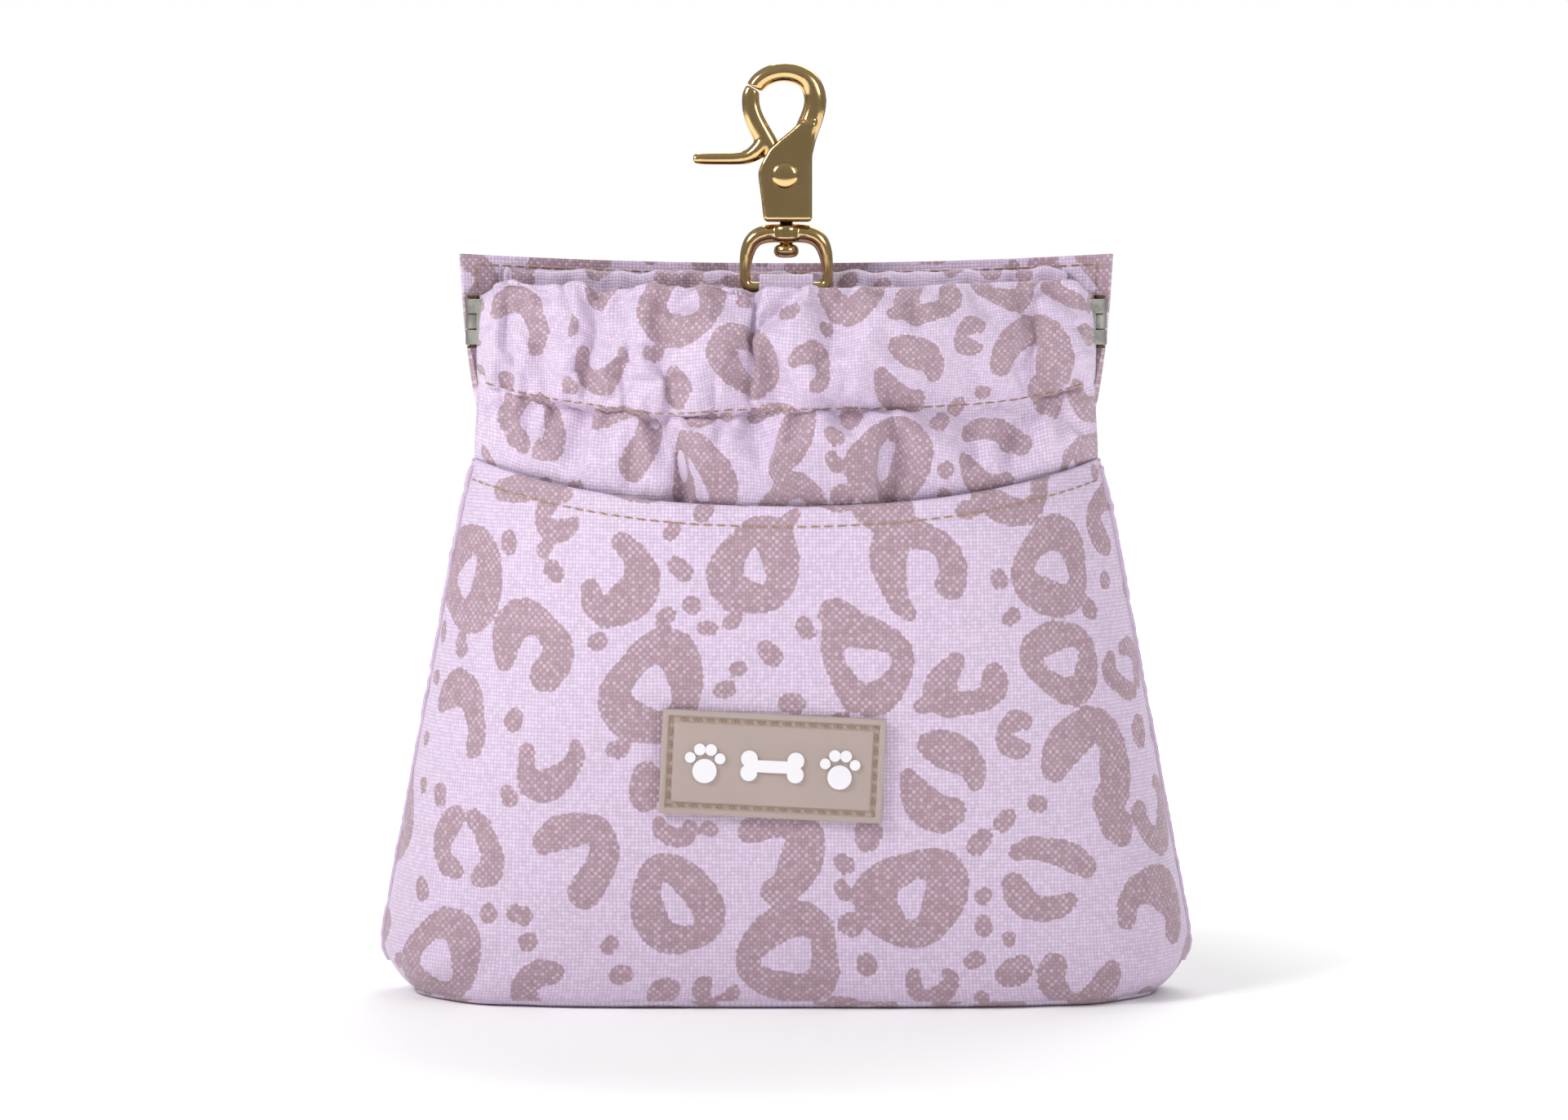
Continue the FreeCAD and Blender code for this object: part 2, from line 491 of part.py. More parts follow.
def main():
    os.makedirs("parts", exist_ok=True)
    bag()
    casings()
    tab()
    label()
    topstitching()
    flex_frame()
    swivel_eye()
    hook()
    gate()
    gate_spring()


main()
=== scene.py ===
import bpy, bmesh, json, math, random
from math import sin, cos, pi, hypot, radians
import numpy as np
from mathutils import Vector, Matrix, noise
from mathutils.bvhtree import BVHTree

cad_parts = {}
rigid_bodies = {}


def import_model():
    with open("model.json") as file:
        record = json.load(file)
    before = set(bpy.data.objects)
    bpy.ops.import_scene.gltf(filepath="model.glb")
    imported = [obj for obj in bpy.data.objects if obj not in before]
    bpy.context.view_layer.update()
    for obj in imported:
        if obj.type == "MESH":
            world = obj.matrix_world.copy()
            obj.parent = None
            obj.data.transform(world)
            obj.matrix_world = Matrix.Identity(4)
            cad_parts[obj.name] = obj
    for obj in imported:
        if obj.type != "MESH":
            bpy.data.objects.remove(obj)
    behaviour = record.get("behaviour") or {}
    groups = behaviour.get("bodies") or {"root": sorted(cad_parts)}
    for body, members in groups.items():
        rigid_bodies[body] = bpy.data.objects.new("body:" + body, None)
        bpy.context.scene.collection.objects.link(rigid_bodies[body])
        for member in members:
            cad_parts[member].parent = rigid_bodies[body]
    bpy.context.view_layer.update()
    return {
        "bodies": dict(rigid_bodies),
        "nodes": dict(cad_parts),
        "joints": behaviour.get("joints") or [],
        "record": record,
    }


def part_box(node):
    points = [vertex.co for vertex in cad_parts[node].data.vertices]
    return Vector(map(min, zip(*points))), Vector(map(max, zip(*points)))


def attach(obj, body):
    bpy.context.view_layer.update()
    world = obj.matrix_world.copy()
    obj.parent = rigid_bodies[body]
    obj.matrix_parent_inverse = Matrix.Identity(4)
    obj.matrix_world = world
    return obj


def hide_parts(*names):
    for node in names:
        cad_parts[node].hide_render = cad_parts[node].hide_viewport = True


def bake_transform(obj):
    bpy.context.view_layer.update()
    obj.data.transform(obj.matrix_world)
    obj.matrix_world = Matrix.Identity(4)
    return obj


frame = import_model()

mm = 0.001

# places read from the frame, in millimetres

def boxOf(node):
    return [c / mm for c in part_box(node)]


labelLow, labelHigh = boxOf("label_patch")
eyeLow, eyeHigh = boxOf("swivel_eye")
pinLow, pinHigh = boxOf("left_hinge_pin")
backLow, backHigh = boxOf("back_casing")
tapeLow, tapeHigh = boxOf("left_seam_tape")
hookY = (eyeLow.y + eyeHigh.y) / 2
pinY = (pinLow.y + pinHigh.y) / 2
seamY = (tapeLow.y + tapeHigh.y) / 2
rivetPoint = sum(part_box("gate_rivet"), Vector()) / 2 / mm


# ---------- small helpers ----------

def hexColor(code):
    parts = [int(code[i:i + 2], 16) / 255 for i in (1, 3, 5)]
    return [c / 12.92 if c <= 0.04045 else ((c + 0.055) / 1.055) ** 2.4 for c in parts] + [1.0]


def addNode(mat, kind, inputs=None, **settings):
    node = mat.node_tree.nodes.new("ShaderNode" + kind)
    for key, value in settings.items():
        setattr(node, key, value)
    for key, value in (inputs or {}).items():
        socket = node.inputs[key]
        if isinstance(value, bpy.types.NodeSocket):
            mat.node_tree.links.new(value, socket)
        else:
            socket.default_value = value
    return node


def newMaterial(name, surface):
    mat = bpy.data.materials.new(name)
    mat.use_nodes = True
    mat.node_tree.nodes.clear()
    shader = addNode(mat, "BsdfPrincipled", surface)
    addNode(mat, "OutputMaterial", {"Surface": shader.outputs[0]})
    return mat, shader


def calc(mat, operation, *values, clamp=False):
    # a sum on numbers or sockets
    return addNode(mat, "Math", dict(enumerate(values)), operation=operation, use_clamp=clamp).outputs[0]


def mixColor(mat, factor, low, high):
    # low where factor is 0 and high where it is 1; each is a hex code or a socket
    low, high = (hexColor(c) if isinstance(c, str) else c for c in (low, high))
    return addNode(mat, "Mix", {"Factor": factor, "A": low, "B": high},
                   data_type="RGBA").outputs["Result"]


def finishMaterial(mat, shader, color, height, strength, distance):
    # colour and relief; distance in millimetres
    bump = addNode(mat, "Bump", {"Height": height, "Strength": strength, "Distance": distance * mm})
    mat.node_tree.links.new(color, shader.inputs["Base Color"])
    mat.node_tree.links.new(bump.outputs[0], shader.inputs["Normal"])
    return mat


def smoothStep(low, high, value):
    t = min(1.0, max(0.0, (value - low) / (high - low)))
    return t * t * (3 - 2 * t)


def follow(levels, at):
    # a smooth curve through given (height, value) pairs
    if at <= levels[0][0]:
        return levels[0][1]
    if at >= levels[-1][0]:
        return levels[-1][1]
    i = max(k for k in range(len(levels) - 1) if levels[k][0] <= at)
    (x0, y0), (x1, y1) = levels[i], levels[i + 1]
    slope = lambda a, b: (levels[b][1] - levels[a][1]) / (levels[b][0] - levels[a][0])
    before = slope(max(i - 1, 0), i + 1)
    after = slope(i, min(i + 2, len(levels) - 1))
    t, d = (at - x0) / (x1 - x0), x1 - x0
    return ((2 * t ** 3 - 3 * t ** 2 + 1) * y0 + (t ** 3 - 2 * t ** 2 + t) * d * before
            + (3 * t ** 2 - 2 * t ** 3) * y1 + (t ** 3 - t ** 2) * d * after)


def wave(x, z, seed, across, up):
    # soft unevenness from -1 to 1
    return noise.noise(Vector((x / across, z / up, seed)))


def placeObject(name, data):
    thing = bpy.data.objects.new(name, data)
    bpy.context.scene.collection.objects.link(thing)
    return thing


def makeObject(bm, name, material, smooth=True):
    mesh = bpy.data.meshes.new(name)
    bm.to_mesh(mesh)
    bm.free()
    piece = placeObject(name, mesh)
    mesh.materials.append(material)
    if smooth:
        mesh.shade_smooth()
    return piece


def weld(bm, gap):
    bmesh.ops.remove_doubles(bm, verts=bm.verts, dist=gap * mm)
    bmesh.ops.recalc_face_normals(bm, faces=bm.faces)


def softenEdges(piece, width, segments):
    edge = piece.modifiers.new("softEdge", "BEVEL")
    edge.width, edge.segments, edge.limit_method = width * mm, segments, "ANGLE"


def thicken(piece, thickness, offset=-1.0, bevel=0.0):
    solid = piece.modifiers.new("thickness", "SOLIDIFY")
    solid.thickness, solid.offset = thickness * mm, offset
    if bevel:
        softenEdges(piece, bevel, 3)


def finalMesh(piece):
    return bpy.data.meshes.new_from_object(piece.evaluated_get(bpy.context.evaluated_depsgraph_get()))


def bake(piece):
    # turns the live modifiers into the mesh
    ready = finalMesh(piece)
    piece.modifiers.clear()
    piece.data = ready


def tubeAlong(name, points, radii, material, sides=16, closed=False):
    # a round bar with its own radius at each point; points and radii in millimetres
    data = bpy.data.curves.new(name, "CURVE")
    data.dimensions, data.bevel_depth, data.bevel_resolution = "3D", mm, sides // 4
    data.use_fill_caps, data.resolution_u = True, 10
    spline = data.splines.new("NURBS")
    spline.points.add(len(points) - 1)
    for p, co, r in zip(spline.points, points, radii):
        p.co = (co[0] * mm, co[1] * mm, co[2] * mm, 1)
        p.radius = r
    spline.order_u = 4
    spline.use_endpoint_u = not closed
    spline.use_cyclic_u = closed
    holder = placeObject(name + "Curve", data)
    bpy.context.view_layer.update()
    mesh = finalMesh(holder)
    bpy.data.objects.remove(holder)
    bm = bmesh.new()
    bm.from_mesh(mesh)
    weld(bm, 0.002)
    return makeObject(bm, name, material)


def rideOn(piece, body, slot, *nodes):
    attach(piece, body)
    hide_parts(*nodes)


# ---------- the print ----------
# Spots are chains of round blobs in millimetres of flat cloth, largest first and never closer than a gap.
# Every panel is cut from the same endless print.

spots = dict(seed=23, gap=0.6, low=(-150, -110), high=(150, 260),
             sizes=[(10.0, 13.0, 900), (7.6, 9.8, 1500), (4.8, 6.8, 2600), (2.3, 3.4, 4200)],
             stroke=(0.225, 0.285), fillet=1.6,
             kinds=[dict(ring=0.30, hook=0.50, pair=0.20), dict(ring=0.08, hook=0.62, pair=0.14, bean=0.16),
                    dict(hook=0.35, bean=0.65), dict(dot=1.0)])


def spotChains(rng, kind, centre, size):
    # size is the outer radius of the whole spot
    if kind == "dot":
        x, y = rng.uniform(-0.3, 0.3) * size, rng.uniform(-0.3, 0.3) * size
        return [[(centre[0] - x, centre[1] - y, size * 0.62), (centre[0] + x, centre[1] + y, size * 0.7)]]
    turn, lean, swell = (rng.uniform(0, 2 * pi) for i in range(3))
    stroke = size * rng.uniform(*spots["stroke"])
    radius, squeeze = size - stroke * 1.15, rng.uniform(0.70, 0.98)
    sweep = dict(ring=360, hook=rng.uniform(190, 265), pair=rng.uniform(95, 140), bean=rng.uniform(50, 85))[kind]
    if kind == "bean":
        stroke, radius, centre = size * 0.42, size * 0.75, (centre[0] - size * 0.5 * cos(turn + 0.5),
                                                            centre[1] - size * 0.5 * sin(turn + 0.5))
    chains = []
    for side in range(2 if kind == "pair" else 1):
        count = max(5, int(sweep / 20))
        chain = []
        for i in range(count + 1):
            angle = turn + side * pi * 0.96 + radians(sweep) * i / count
            out = radius * (1 + 0.10 * sin(3 * angle + swell) + rng.uniform(-0.02, 0.02))
            x, y = out * cos(angle), out * sin(angle) * squeeze
            x, y = x * cos(lean) - y * sin(lean), x * sin(lean) + y * cos(lean)
            ends = 1.0 if kind == "ring" else 0.78 + 0.34 * sin(pi * i / count)
            thick = stroke * (1 + 0.24 * sin(2 * angle + swell * 2)) * ends
            chain.append((centre[0] + x, centre[1] + y, thick))
        if kind == "ring":
            chain[-1] = chain[0]
        elif kind == "hook" and rng.random() < 0.6:
            x, y, thick = chain[0]
            chain[0] = (x, y, thick * 1.35)
        chains.append(chain)
    return chains


def makePrint():
    rng, placed, chains = random.Random(spots["seed"]), [], []
    low, high = spots["low"], spots["high"]
    for (small, large, tries), mix in zip(spots["sizes"], spots["kinds"]):
        kinds, weights = zip(*mix.items())
        for attempt in range(tries):
            x, y, size = rng.uniform(low[0], high[0]), rng.uniform(low[1], high[1]), rng.uniform(small, large)
            kind = rng.choices(kinds, weights)[0]
            if all(hypot(x - px, y - py) > (size + ps) * 0.96 + spots["gap"] - 0.6 for px, py, ps in placed):
                placed.append((x, y, size))
                chains += spotChains(rng, kind, (x, y), size)
    return chains


printChains = makePrint()
print("print laid out:", len(printChains), "spots")


def printDistance(points):
    # how far each point of flat cloth lies outside the nearest spot, below zero inside it
    away = np.full(len(points), 9.0)
    for chain in printChains:
        for (x0, y0, r0), (x1, y1, r1) in zip(chain, chain[1:]):
            reach = max(r0, r1) + 3 + hypot(x1 - x0, y1 - y0)
            near = np.nonzero((abs(points[:, 0] - x0) < reach) & (abs(points[:, 1] - y0) < reach))[0]
            if not len(near):
                continue
            px, py = points[near, 0] - x0, points[near, 1] - y0
            dx, dy = x1 - x0, y1 - y0
            t = np.clip((px * dx + py * dy) / max(dx * dx + dy * dy, 1e-6), 0, 1)
            gap = np.hypot(px - t * dx, py - t * dy) - (r0 + (r1 - r0) * t)
            # blends neighbouring blobs with a soft fillet
            fillet = spots["fillet"]
            h = np.clip(0.5 + 0.5 * (away[near] - gap) / fillet, 0, 1)
            away[near] = away[near] * (1 - h) + gap * h - fillet * h * (1 - h)
    return away


def clothSheet(name, columns, rows, place, flat, material, printed=True, shift=(0, 0)):
    # a grid of cloth: place(u, v) is its point and flat(u, v) its spot on the flat cut, both in millimetres
    bm = bmesh.new()
    bmesh.ops.create_grid(bm, x_segments=columns, y_segments=rows, size=0.5)
    layer = bm.loops.layers.uv.new("cloth")
    cut = {}
    for v in bm.verts:
        a, b = v.co.x + 0.5, v.co.y + 0.5
        fx, fy = flat(a, b)
        cut[v] = (fx + shift[0], fy + shift[1])
        v.co = Vector(place(a, b)) * mm
    for face in bm.faces:
        for loop in face.loops:
            loop[layer].uv = cut[loop.vert]
    piece = makeObject(bm, name, material)
    if printed:
        dyePrint(piece)
    else:
        plain = piece.data.attributes.new("print", "FLOAT", "POINT")
        plain.data.foreach_set("value", [9.0] * len(piece.data.vertices))
    return piece


def dyePrint(piece):
    # gives every point of the cloth its distance from the nearest spot of the print
    mesh = piece.data
    corners = np.empty(len(mesh.loops), np.int32)
    mesh.loops.foreach_get("vertex_index", corners)
    uv = np.empty(len(mesh.loops) * 2, np.float32)
    mesh.uv_layers["cloth"].data.foreach_get("uv", uv)
    points = np.zeros((len(mesh.vertices), 2))
    points[corners] = uv.reshape(-1, 2)
    values = mesh.attributes.get("print") or mesh.attributes.new("print", "FLOAT", "POINT")
    values.data.foreach_set("value", printDistance(points).astype(np.float32))


def settleCloth(piece, isPinned, smooth, frames, weight, stiff, puff, surplus):
    # lets cloth that was cut too wide for its place buckle into folds between the points that hold it
    scene, grow = bpy.context.scene, 10.0        # the solver is happiest with cloth about a metre across
    mesh = piece.data
    uv = {loop.vertex_index: mesh.uv_layers["cloth"].data[loop.index].uv for loop in mesh.loops}
    held = piece.vertex_groups.new(name="held")
    held.add([v.index for v in mesh.vertices if isPinned(v.co / mm, uv[v.index])], 1.0, "REPLACE")
    flat = piece.vertex_groups.new(name="flat")
    for v in mesh.vertices:
        flat.add([v.index], smooth(v.co / mm), "REPLACE")
    mesh.transform(Matrix.Scale(grow, 4))
    cloth = piece.modifiers.new("settle", "CLOTH")
    c = cloth.settings
    c.quality, c.mass, c.air_damping = 6, weight, 2.0
    c.tension_stiffness = c.compression_stiffness = 30
    c.shear_stiffness, c.bending_stiffness = 15, stiff
    c.tension_damping = c.compression_damping = 8
    c.bending_damping = 1.0
    c.vertex_group_mass, c.pin_stiffness = "held", 1.0
    c.shrink_min, c.shrink_max = -surplus, -surplus * 0.25
    c.vertex_group_shrink = "flat"
    c.effector_weights.gravity = 0
    c.use_pressure, c.uniform_pressure_force = True, puff
    cloth.collision_settings.use_collision = False
    cloth.point_cache.frame_end = frames
    for frame in range(1, frames + 1):
        scene.frame_set(frame)
    bake(piece)
    piece.vertex_groups.clear()
    piece.data.transform(Matrix.Scale(1 / grow, 4))
    scene.frame_set(1)


# ---------- cloth materials ----------

# the darker colour of each pair is painted shade in the gaps between threads
canvas = dict(pitch=0.8, relief=0.16, ground="#DAC9E0", groundGapShade="#AF95B3", spot="#AC909A", spotGapShade="#866A77",
              fleck="#CDB8CC", edge=0.12, ragged=0.13)


def weave(mat, pitch):
    # plain weave: warp threads ride over in every other cell and weft threads in the rest
    uv = addNode(mat, "UVMap", uv_map="cloth").outputs[0]
    wobble = addNode(mat, "TexNoise", {"Vector": uv, "Scale": 0.35, "Detail": 2.0})
    bend = addNode(mat, "VectorMath", {0: wobble.outputs["Color"], 1: (0.5, 0.5, 0.5)},
                   operation="SUBTRACT").outputs[0]
    moved = addNode(mat, "VectorMath", {0: bend, 1: (0.5, 0.5, 0.0), 2: uv},
                    operation="MULTIPLY_ADD").outputs[0]
    axes = addNode(mat, "SeparateXYZ", {0: moved})
    acrossWave = calc(mat, "SINE", calc(mat, "MULTIPLY", axes.outputs[0], pi / pitch))
    upWave = calc(mat, "SINE", calc(mat, "MULTIPLY", axes.outputs[1], pi / pitch))
    isWarp = calc(mat, "GREATER_THAN", calc(mat, "MULTIPLY", acrossWave, upWave), 0.0)
    across, up = calc(mat, "ABSOLUTE", acrossWave), calc(mat, "ABSOLUTE", upWave)
    # round across the thread, and long over the thread that it crosses
    crown = lambda over, along: calc(
        mat, "MULTIPLY", calc(mat, "MULTIPLY_ADD", calc(mat, "POWER", over, 0.45), 0.8, 0.2),
        calc(mat, "MULTIPLY_ADD", along, 0.4, 0.6))
    warp, weft = crown(across, up), crown(up, across)
    height = addNode(mat, "Mix", {"Factor": isWarp, "A": weft, "B": warp}).outputs[0]
    return height, isWarp, moved


def printedCanvas():
    # 600-denier polyester canvas, woven plain and surface-printed: soft, slightly shiny threads, with painted shade in
    # the gaps between them
    s = canvas
    mat, shader = newMaterial("wovenPolyesterCanvas", {"Roughness": 0.62, "IOR": 1.5, "Sheen Weight": 0.25,
                                                       "Sheen Roughness": 0.4})
    height, isWarp, moved = weave(mat, s["pitch"])
    # each thread takes the dye a little differently
    thread = addNode(mat, "TexWhiteNoise", {
        "Vector": addNode(mat, "VectorMath", {
            0: addNode(mat, "VectorMath", {0: moved, 1: (s["pitch"],) * 3}, operation="DIVIDE").outputs[0]},
            operation="FLOOR").outputs[0]}, noise_dimensions="2D").outputs["Value"]
    away = addNode(mat, "Attribute", attribute_name="print").outputs["Fac"]
    away = calc(mat, "MULTIPLY_ADD", calc(mat, "SUBTRACT", thread, 0.5), s["ragged"] * 2, away)
    inSpot = addNode(mat, "MapRange", {"Value": away, "From Min": s["edge"], "From Max": -s["edge"]})
    # painted shade: the ground and spot colours darken down in the gaps between threads
    ground = mixColor(mat, height, s["groundGapShade"], s["ground"])
    spot = mixColor(mat, height, s["spotGapShade"], s["spot"])
    # the dye misses part of every other thread
    fleck = calc(mat, "MULTIPLY", isWarp, calc(mat, "MULTIPLY_ADD", thread, 0.45, 0.12))
    spot = mixColor(mat, fleck, spot, s["fleck"])
    color = mixColor(mat, inSpot.outputs[0], ground, spot)
    tint = addNode(mat, "HueSaturation", {
        "Value": calc(mat, "MULTIPLY_ADD", thread, 0.16, 0.92), "Color": color})
    return finishMaterial(mat, shader, tint.outputs[0], height, 0.8, s["relief"])


def plainCloth(name, light, dark, pitch, relief, roughness=0.7):
    # plain woven polyester in one dye, with painted shade in the gaps between threads
    mat, shader = newMaterial(name, {"Roughness": roughness, "IOR": 1.5, "Sheen Weight": 0.2})
    height, isWarp, moved = weave(mat, pitch)
    # painted shade: the colour runs from dark in the gaps between threads to light on their crowns
    return finishMaterial(mat, shader, mixColor(mat, height, dark, light), height, 0.7, relief)


def sewingThread():
    # spun polyester thread: two plies twisted together, drawn with painted light and shade in slanting light and dark
    # bands along the twist
    mat, shader = newMaterial("spunPolyesterThread", {"Roughness": 0.6, "IOR": 1.5, "Sheen Weight": 0.3})
    where = addNode(mat, "TexCoord").outputs["Object"]
    twist = addNode(mat, "TexWave", {"Vector": where, "Scale": 900.0, "Distortion": 1.5, "Detail": 1.0},
                    bands_direction="DIAGONAL")
    # painted light and shade: light bands on the plies' crowns and dark ones in the grooves between them
    color = mixColor(mat, twist.outputs["Fac"], "#7E6048", "#B8956C")
    mat.node_tree.links.new(color, shader.inputs["Base Color"])
    return mat


def mouldedPvc(name, color, dark):
    # soft moulded PVC: matt, with the faint grain of the mould
    mat, shader = newMaterial(name, {"Roughness": 0.48, "IOR": 1.53})
    where = addNode(mat, "TexCoord").outputs["Object"]
    grain = addNode(mat, "TexNoise", {"Vector": where, "Scale": 1800.0, "Detail": 3.0})
    cloud = addNode(mat, "TexNoise", {"Vector": where, "Scale": 90.0, "Detail": 2.0})
    mixed = mixColor(mat, cloud.outputs["Fac"], dark, color)
    return finishMaterial(mat, shader, mixed, grain.outputs["Fac"], 0.35, 0.03)


def platedMetal(name, color, worn, roughness, wear=0.5):
    # die-cast or pressed metal under a polished plating, slightly uneven from the casting
    mat, shader = newMaterial(name, {"Metallic": 1.0, "Roughness": roughness})
    where = addNode(mat, "TexCoord").outputs["Object"]
    cloud = addNode(mat, "TexNoise", {"Vector": where, "Scale": 260.0, "Detail": 4.0, "Roughness": 0.6})
    fine = addNode(mat, "TexNoise", {"Vector": where, "Scale": 2200.0, "Detail": 2.0})
    mixed = mixColor(mat, calc(mat, "MULTIPLY", cloud.outputs["Fac"], wear), color, worn)
    rough = addNode(mat, "MapRange", {"Value": cloud.outputs["Fac"], "From Min": 0.3, "From Max": 0.7,
                                                "To Min": roughness * 0.75, "To Max": roughness * 1.35})
    both = calc(mat, "MULTIPLY_ADD", fine.outputs["Fac"], 0.25, cloud.outputs["Fac"])
    mat.node_tree.links.new(rough.outputs[0], shader.inputs["Roughness"])
    return finishMaterial(mat, shader, mixed, both, 0.2, 0.012)


canvasCloth = printedCanvas()
# the second colour of each plain cloth is painted shade in its thread gaps
liningCloth = plainCloth("coatedLiningTaffeta", "#D9C8DF", "#B49FBA", 0.45, 0.05, 0.5)
tapeCloth = plainCloth("overlockedSeamTape", "#D6C2DA", "#A78CA6", 0.5, 0.15)
thread = sewingThread()
labelPvc = mouldedPvc("mouldedPvcTaupe", "#AE9D98", "#A5948C")
motifPvc = mouldedPvc("mouldedPvcWhite", "#ECEAEE", "#E2DFE5")
brass = platedMetal("polishedBrassPlating", "#CBAE7C", "#AB8A55", 0.15, 0.5)
nickel = platedMetal("nickelPlatedSpringSteel", "#C9C6C0", "#A8A49C", 0.28)
bronzedSteel = platedMetal("bronzedHingeSteel", "#75624E", "#3B2F27", 0.32)
print("materials ready")


# ---------- the bag ----------
# Heights and half widths at the side seams, how far front and back stand off them, and how boxy each level is.

shell = dict(
    width=[(0, 81.5), (3, 85.5), (8, 89.0), (12, 89.8), (22, 88.2), (40, 84.7), (58, 81.3), (76, 77.8), (94, 74.4),
           (108, 71.6), (121, 68.4)],
    front=[(0, 26.6), (3, 28.0), (10, 30.0), (30, 31.6), (60, 31.4), (90, 29.4), (121, 26.6)],
    back=[(0, 17.6), (3, 18.2), (10, 19.0), (30, 19.8), (60, 19.2), (90, 16.8), (121, 13.4), (148, 12.4), (166, 12.0)],
    boxy=[(0, 5.0), (30, 4.0), (60, 3.5), (90, 3.0), (123, 2.6)],
    round=[(0, 0.5), (30, 0.55), (60, 0.6), (90, 0.7), (123, 0.8)],
    panel=[(0, 81.5), (3, 85.5), (8, 89.0), (12, 89.8), (40, 84.7), (76, 77.8), (104, 70.4), (121, 67.2), (134, 69.4),
           (148, 71.2), (166, 72.4)])
mouth = dict(middle=109.6, corner=118.6, reach=69.5)      # the pocket's curved mouth


def mouthHeight(x):
    return mouth["middle"] + (mouth["corner"] - mouth["middle"]) * min(1.2, abs(x) / mouth["reach"]) ** 2.2


def crownAt(share, z):
    # 0 at the seams and 1 at the middle
    p, q = follow(shell["boxy"], z), follow(shell["round"], z)
    return max(0.0, 1 - abs(share) ** p) ** q


def pocketPoint(share, z, depth=0.0):
    half = follow(shell["width"], z) - depth * 0.3
    stand = follow(shell["front"], z) - depth
    x = half * share
    soft = 0.55 * wave(x, z, 3.1, 38, 30) + 0.22 * wave(x, z, 8.4, 12, 10)
    corner = smoothStep(30, 4, z) * smoothStep(0.55, 0.95, abs(share))
    soft += corner * 1.1 * sin(abs(x) * 0.30 + z * 0.42)                # pulls at the boxed corners
    hem = smoothStep(9, 0, mouthHeight(x) - z)
    soft += hem * 0.45 * sin(x * 0.21 + 1.0)
    y = seamY - stand * crownAt(share, z) - soft * crownAt(share, z)
    lift = smoothStep(6, 0, z) * 0.9 * (1 - abs(share) ** 2)                 # the bottom edge bows up in the middle
    return x, y, z + lift


def crownLength(stand, half, z, share):
    # length of cloth from the middle of a level out to this share of its half width
    total, last, count = 0.0, None, 24
    for i in range(count + 1):
        s = share * i / count
        spot = (half * s, stand * crownAt(s, z))
        if last:
            total += hypot(spot[0] - last[0], spot[1] - last[1])
        last = spot
    return math.copysign(total, share)


def crowdEnds(a, amount):
    # -1 to 1 across a panel, with its columns closer together towards the seams
    return sin(pi / 2 * (2 * a - 1) * amount) / sin(pi / 2 * amount)


def pocket():
    hem, foldR = 9.0, 0.8

    def place(a, b):
        share = crowdEnds(a, 0.985)
        x = follow(shell["width"], 114) * share
        top = mouthHeight(x)
        if b <= 0.86:
            return pocketPoint(share, 1.2 + (top - 1.2 - foldR) * b / 0.86)
        if b <= 0.90:
            turn = pi * (b - 0.86) / 0.04
            px, py, pz = pocketPoint(share, top - foldR)
            return px, py + foldR * (1 - cos(turn)), pz + foldR * sin(turn)
        px, py, pz = pocketPoint(share, top - foldR - hem * (b - 0.90) / 0.10)
        return px, py + 2 * foldR, pz

    def flat(a, b):
        share = crowdEnds(a, 0.985)
        high = min(b, 0.88) / 0.88
        z = mouthHeight(follow(shell["width"], 114) * share) * high
        run = crownLength(follow(shell["front"], z), follow(shell["width"], z), z, share)
        return run, z + (b - 0.88 if b > 0.88 else 0) * 90

    piece = clothSheet("frontPocketPanel", 230, 130, place, flat, canvasCloth)
    thicken(piece, 0.7)
    return piece


def panelPoint(share, z, depth=0.0):
    half = follow(shell["panel"], z) - depth
    x = half * share
    flatten = smoothStep(120, 150, z)
    crown = crownAt(share, min(z, 123)) * (1 - flatten) + (1 - share ** 2) * flatten
    y = seamY + (follow(shell["back"], z) - depth) * crown
    y += 0.3 * wave(x, z, 5.0, 40, 34) * crown
    return x, y, z


def panelTop(share):
    return 161.9 + 2.0 * share ** 2


def backPanel():
    def place(a, b):
        share = crowdEnds(a, 0.97)
        return panelPoint(share, 1.2 + (panelTop(share) - 1.2) * b)

    def flat(a, b):
        share = crowdEnds(a, 0.97)
        z = 163 * b
        return crownLength(follow(shell["back"], z), follow(shell["panel"], z), min(z, 123), share), z

    piece = clothSheet("backPanelStiffened", 190, 150, place, flat, canvasCloth, shift=(37, 61))
    thicken(piece, 1.9, offset=1.0, bevel=0.55)
    return piece


def basePanel():
    def place(a, b):
        share = crowdEnds(a, 0.97)
        x, front, z = pocketPoint(share * 0.995, 1.2)
        back = panelPoint(share, 1.2)[1]
        edge = max(0.0, 1 - (2 * b - 1) ** 2)
        return x, front + (back - front) * b, 0.35 + (z - 0.35) * (1 - min(1.0, edge * 6))

    piece = clothSheet("basePanelBoxed", 150, 40, place, lambda a, b: ((2 * a - 1) * 88, b * 48), canvasCloth,
                       shift=(11, -70))
    thicken(piece, 0.7, offset=1.0)
    return piece


# ---------- the gathered mouth ----------
# Deep folds in the gathered channel: x at the lip, x at the stitches, depth, width, and the heights it runs between.

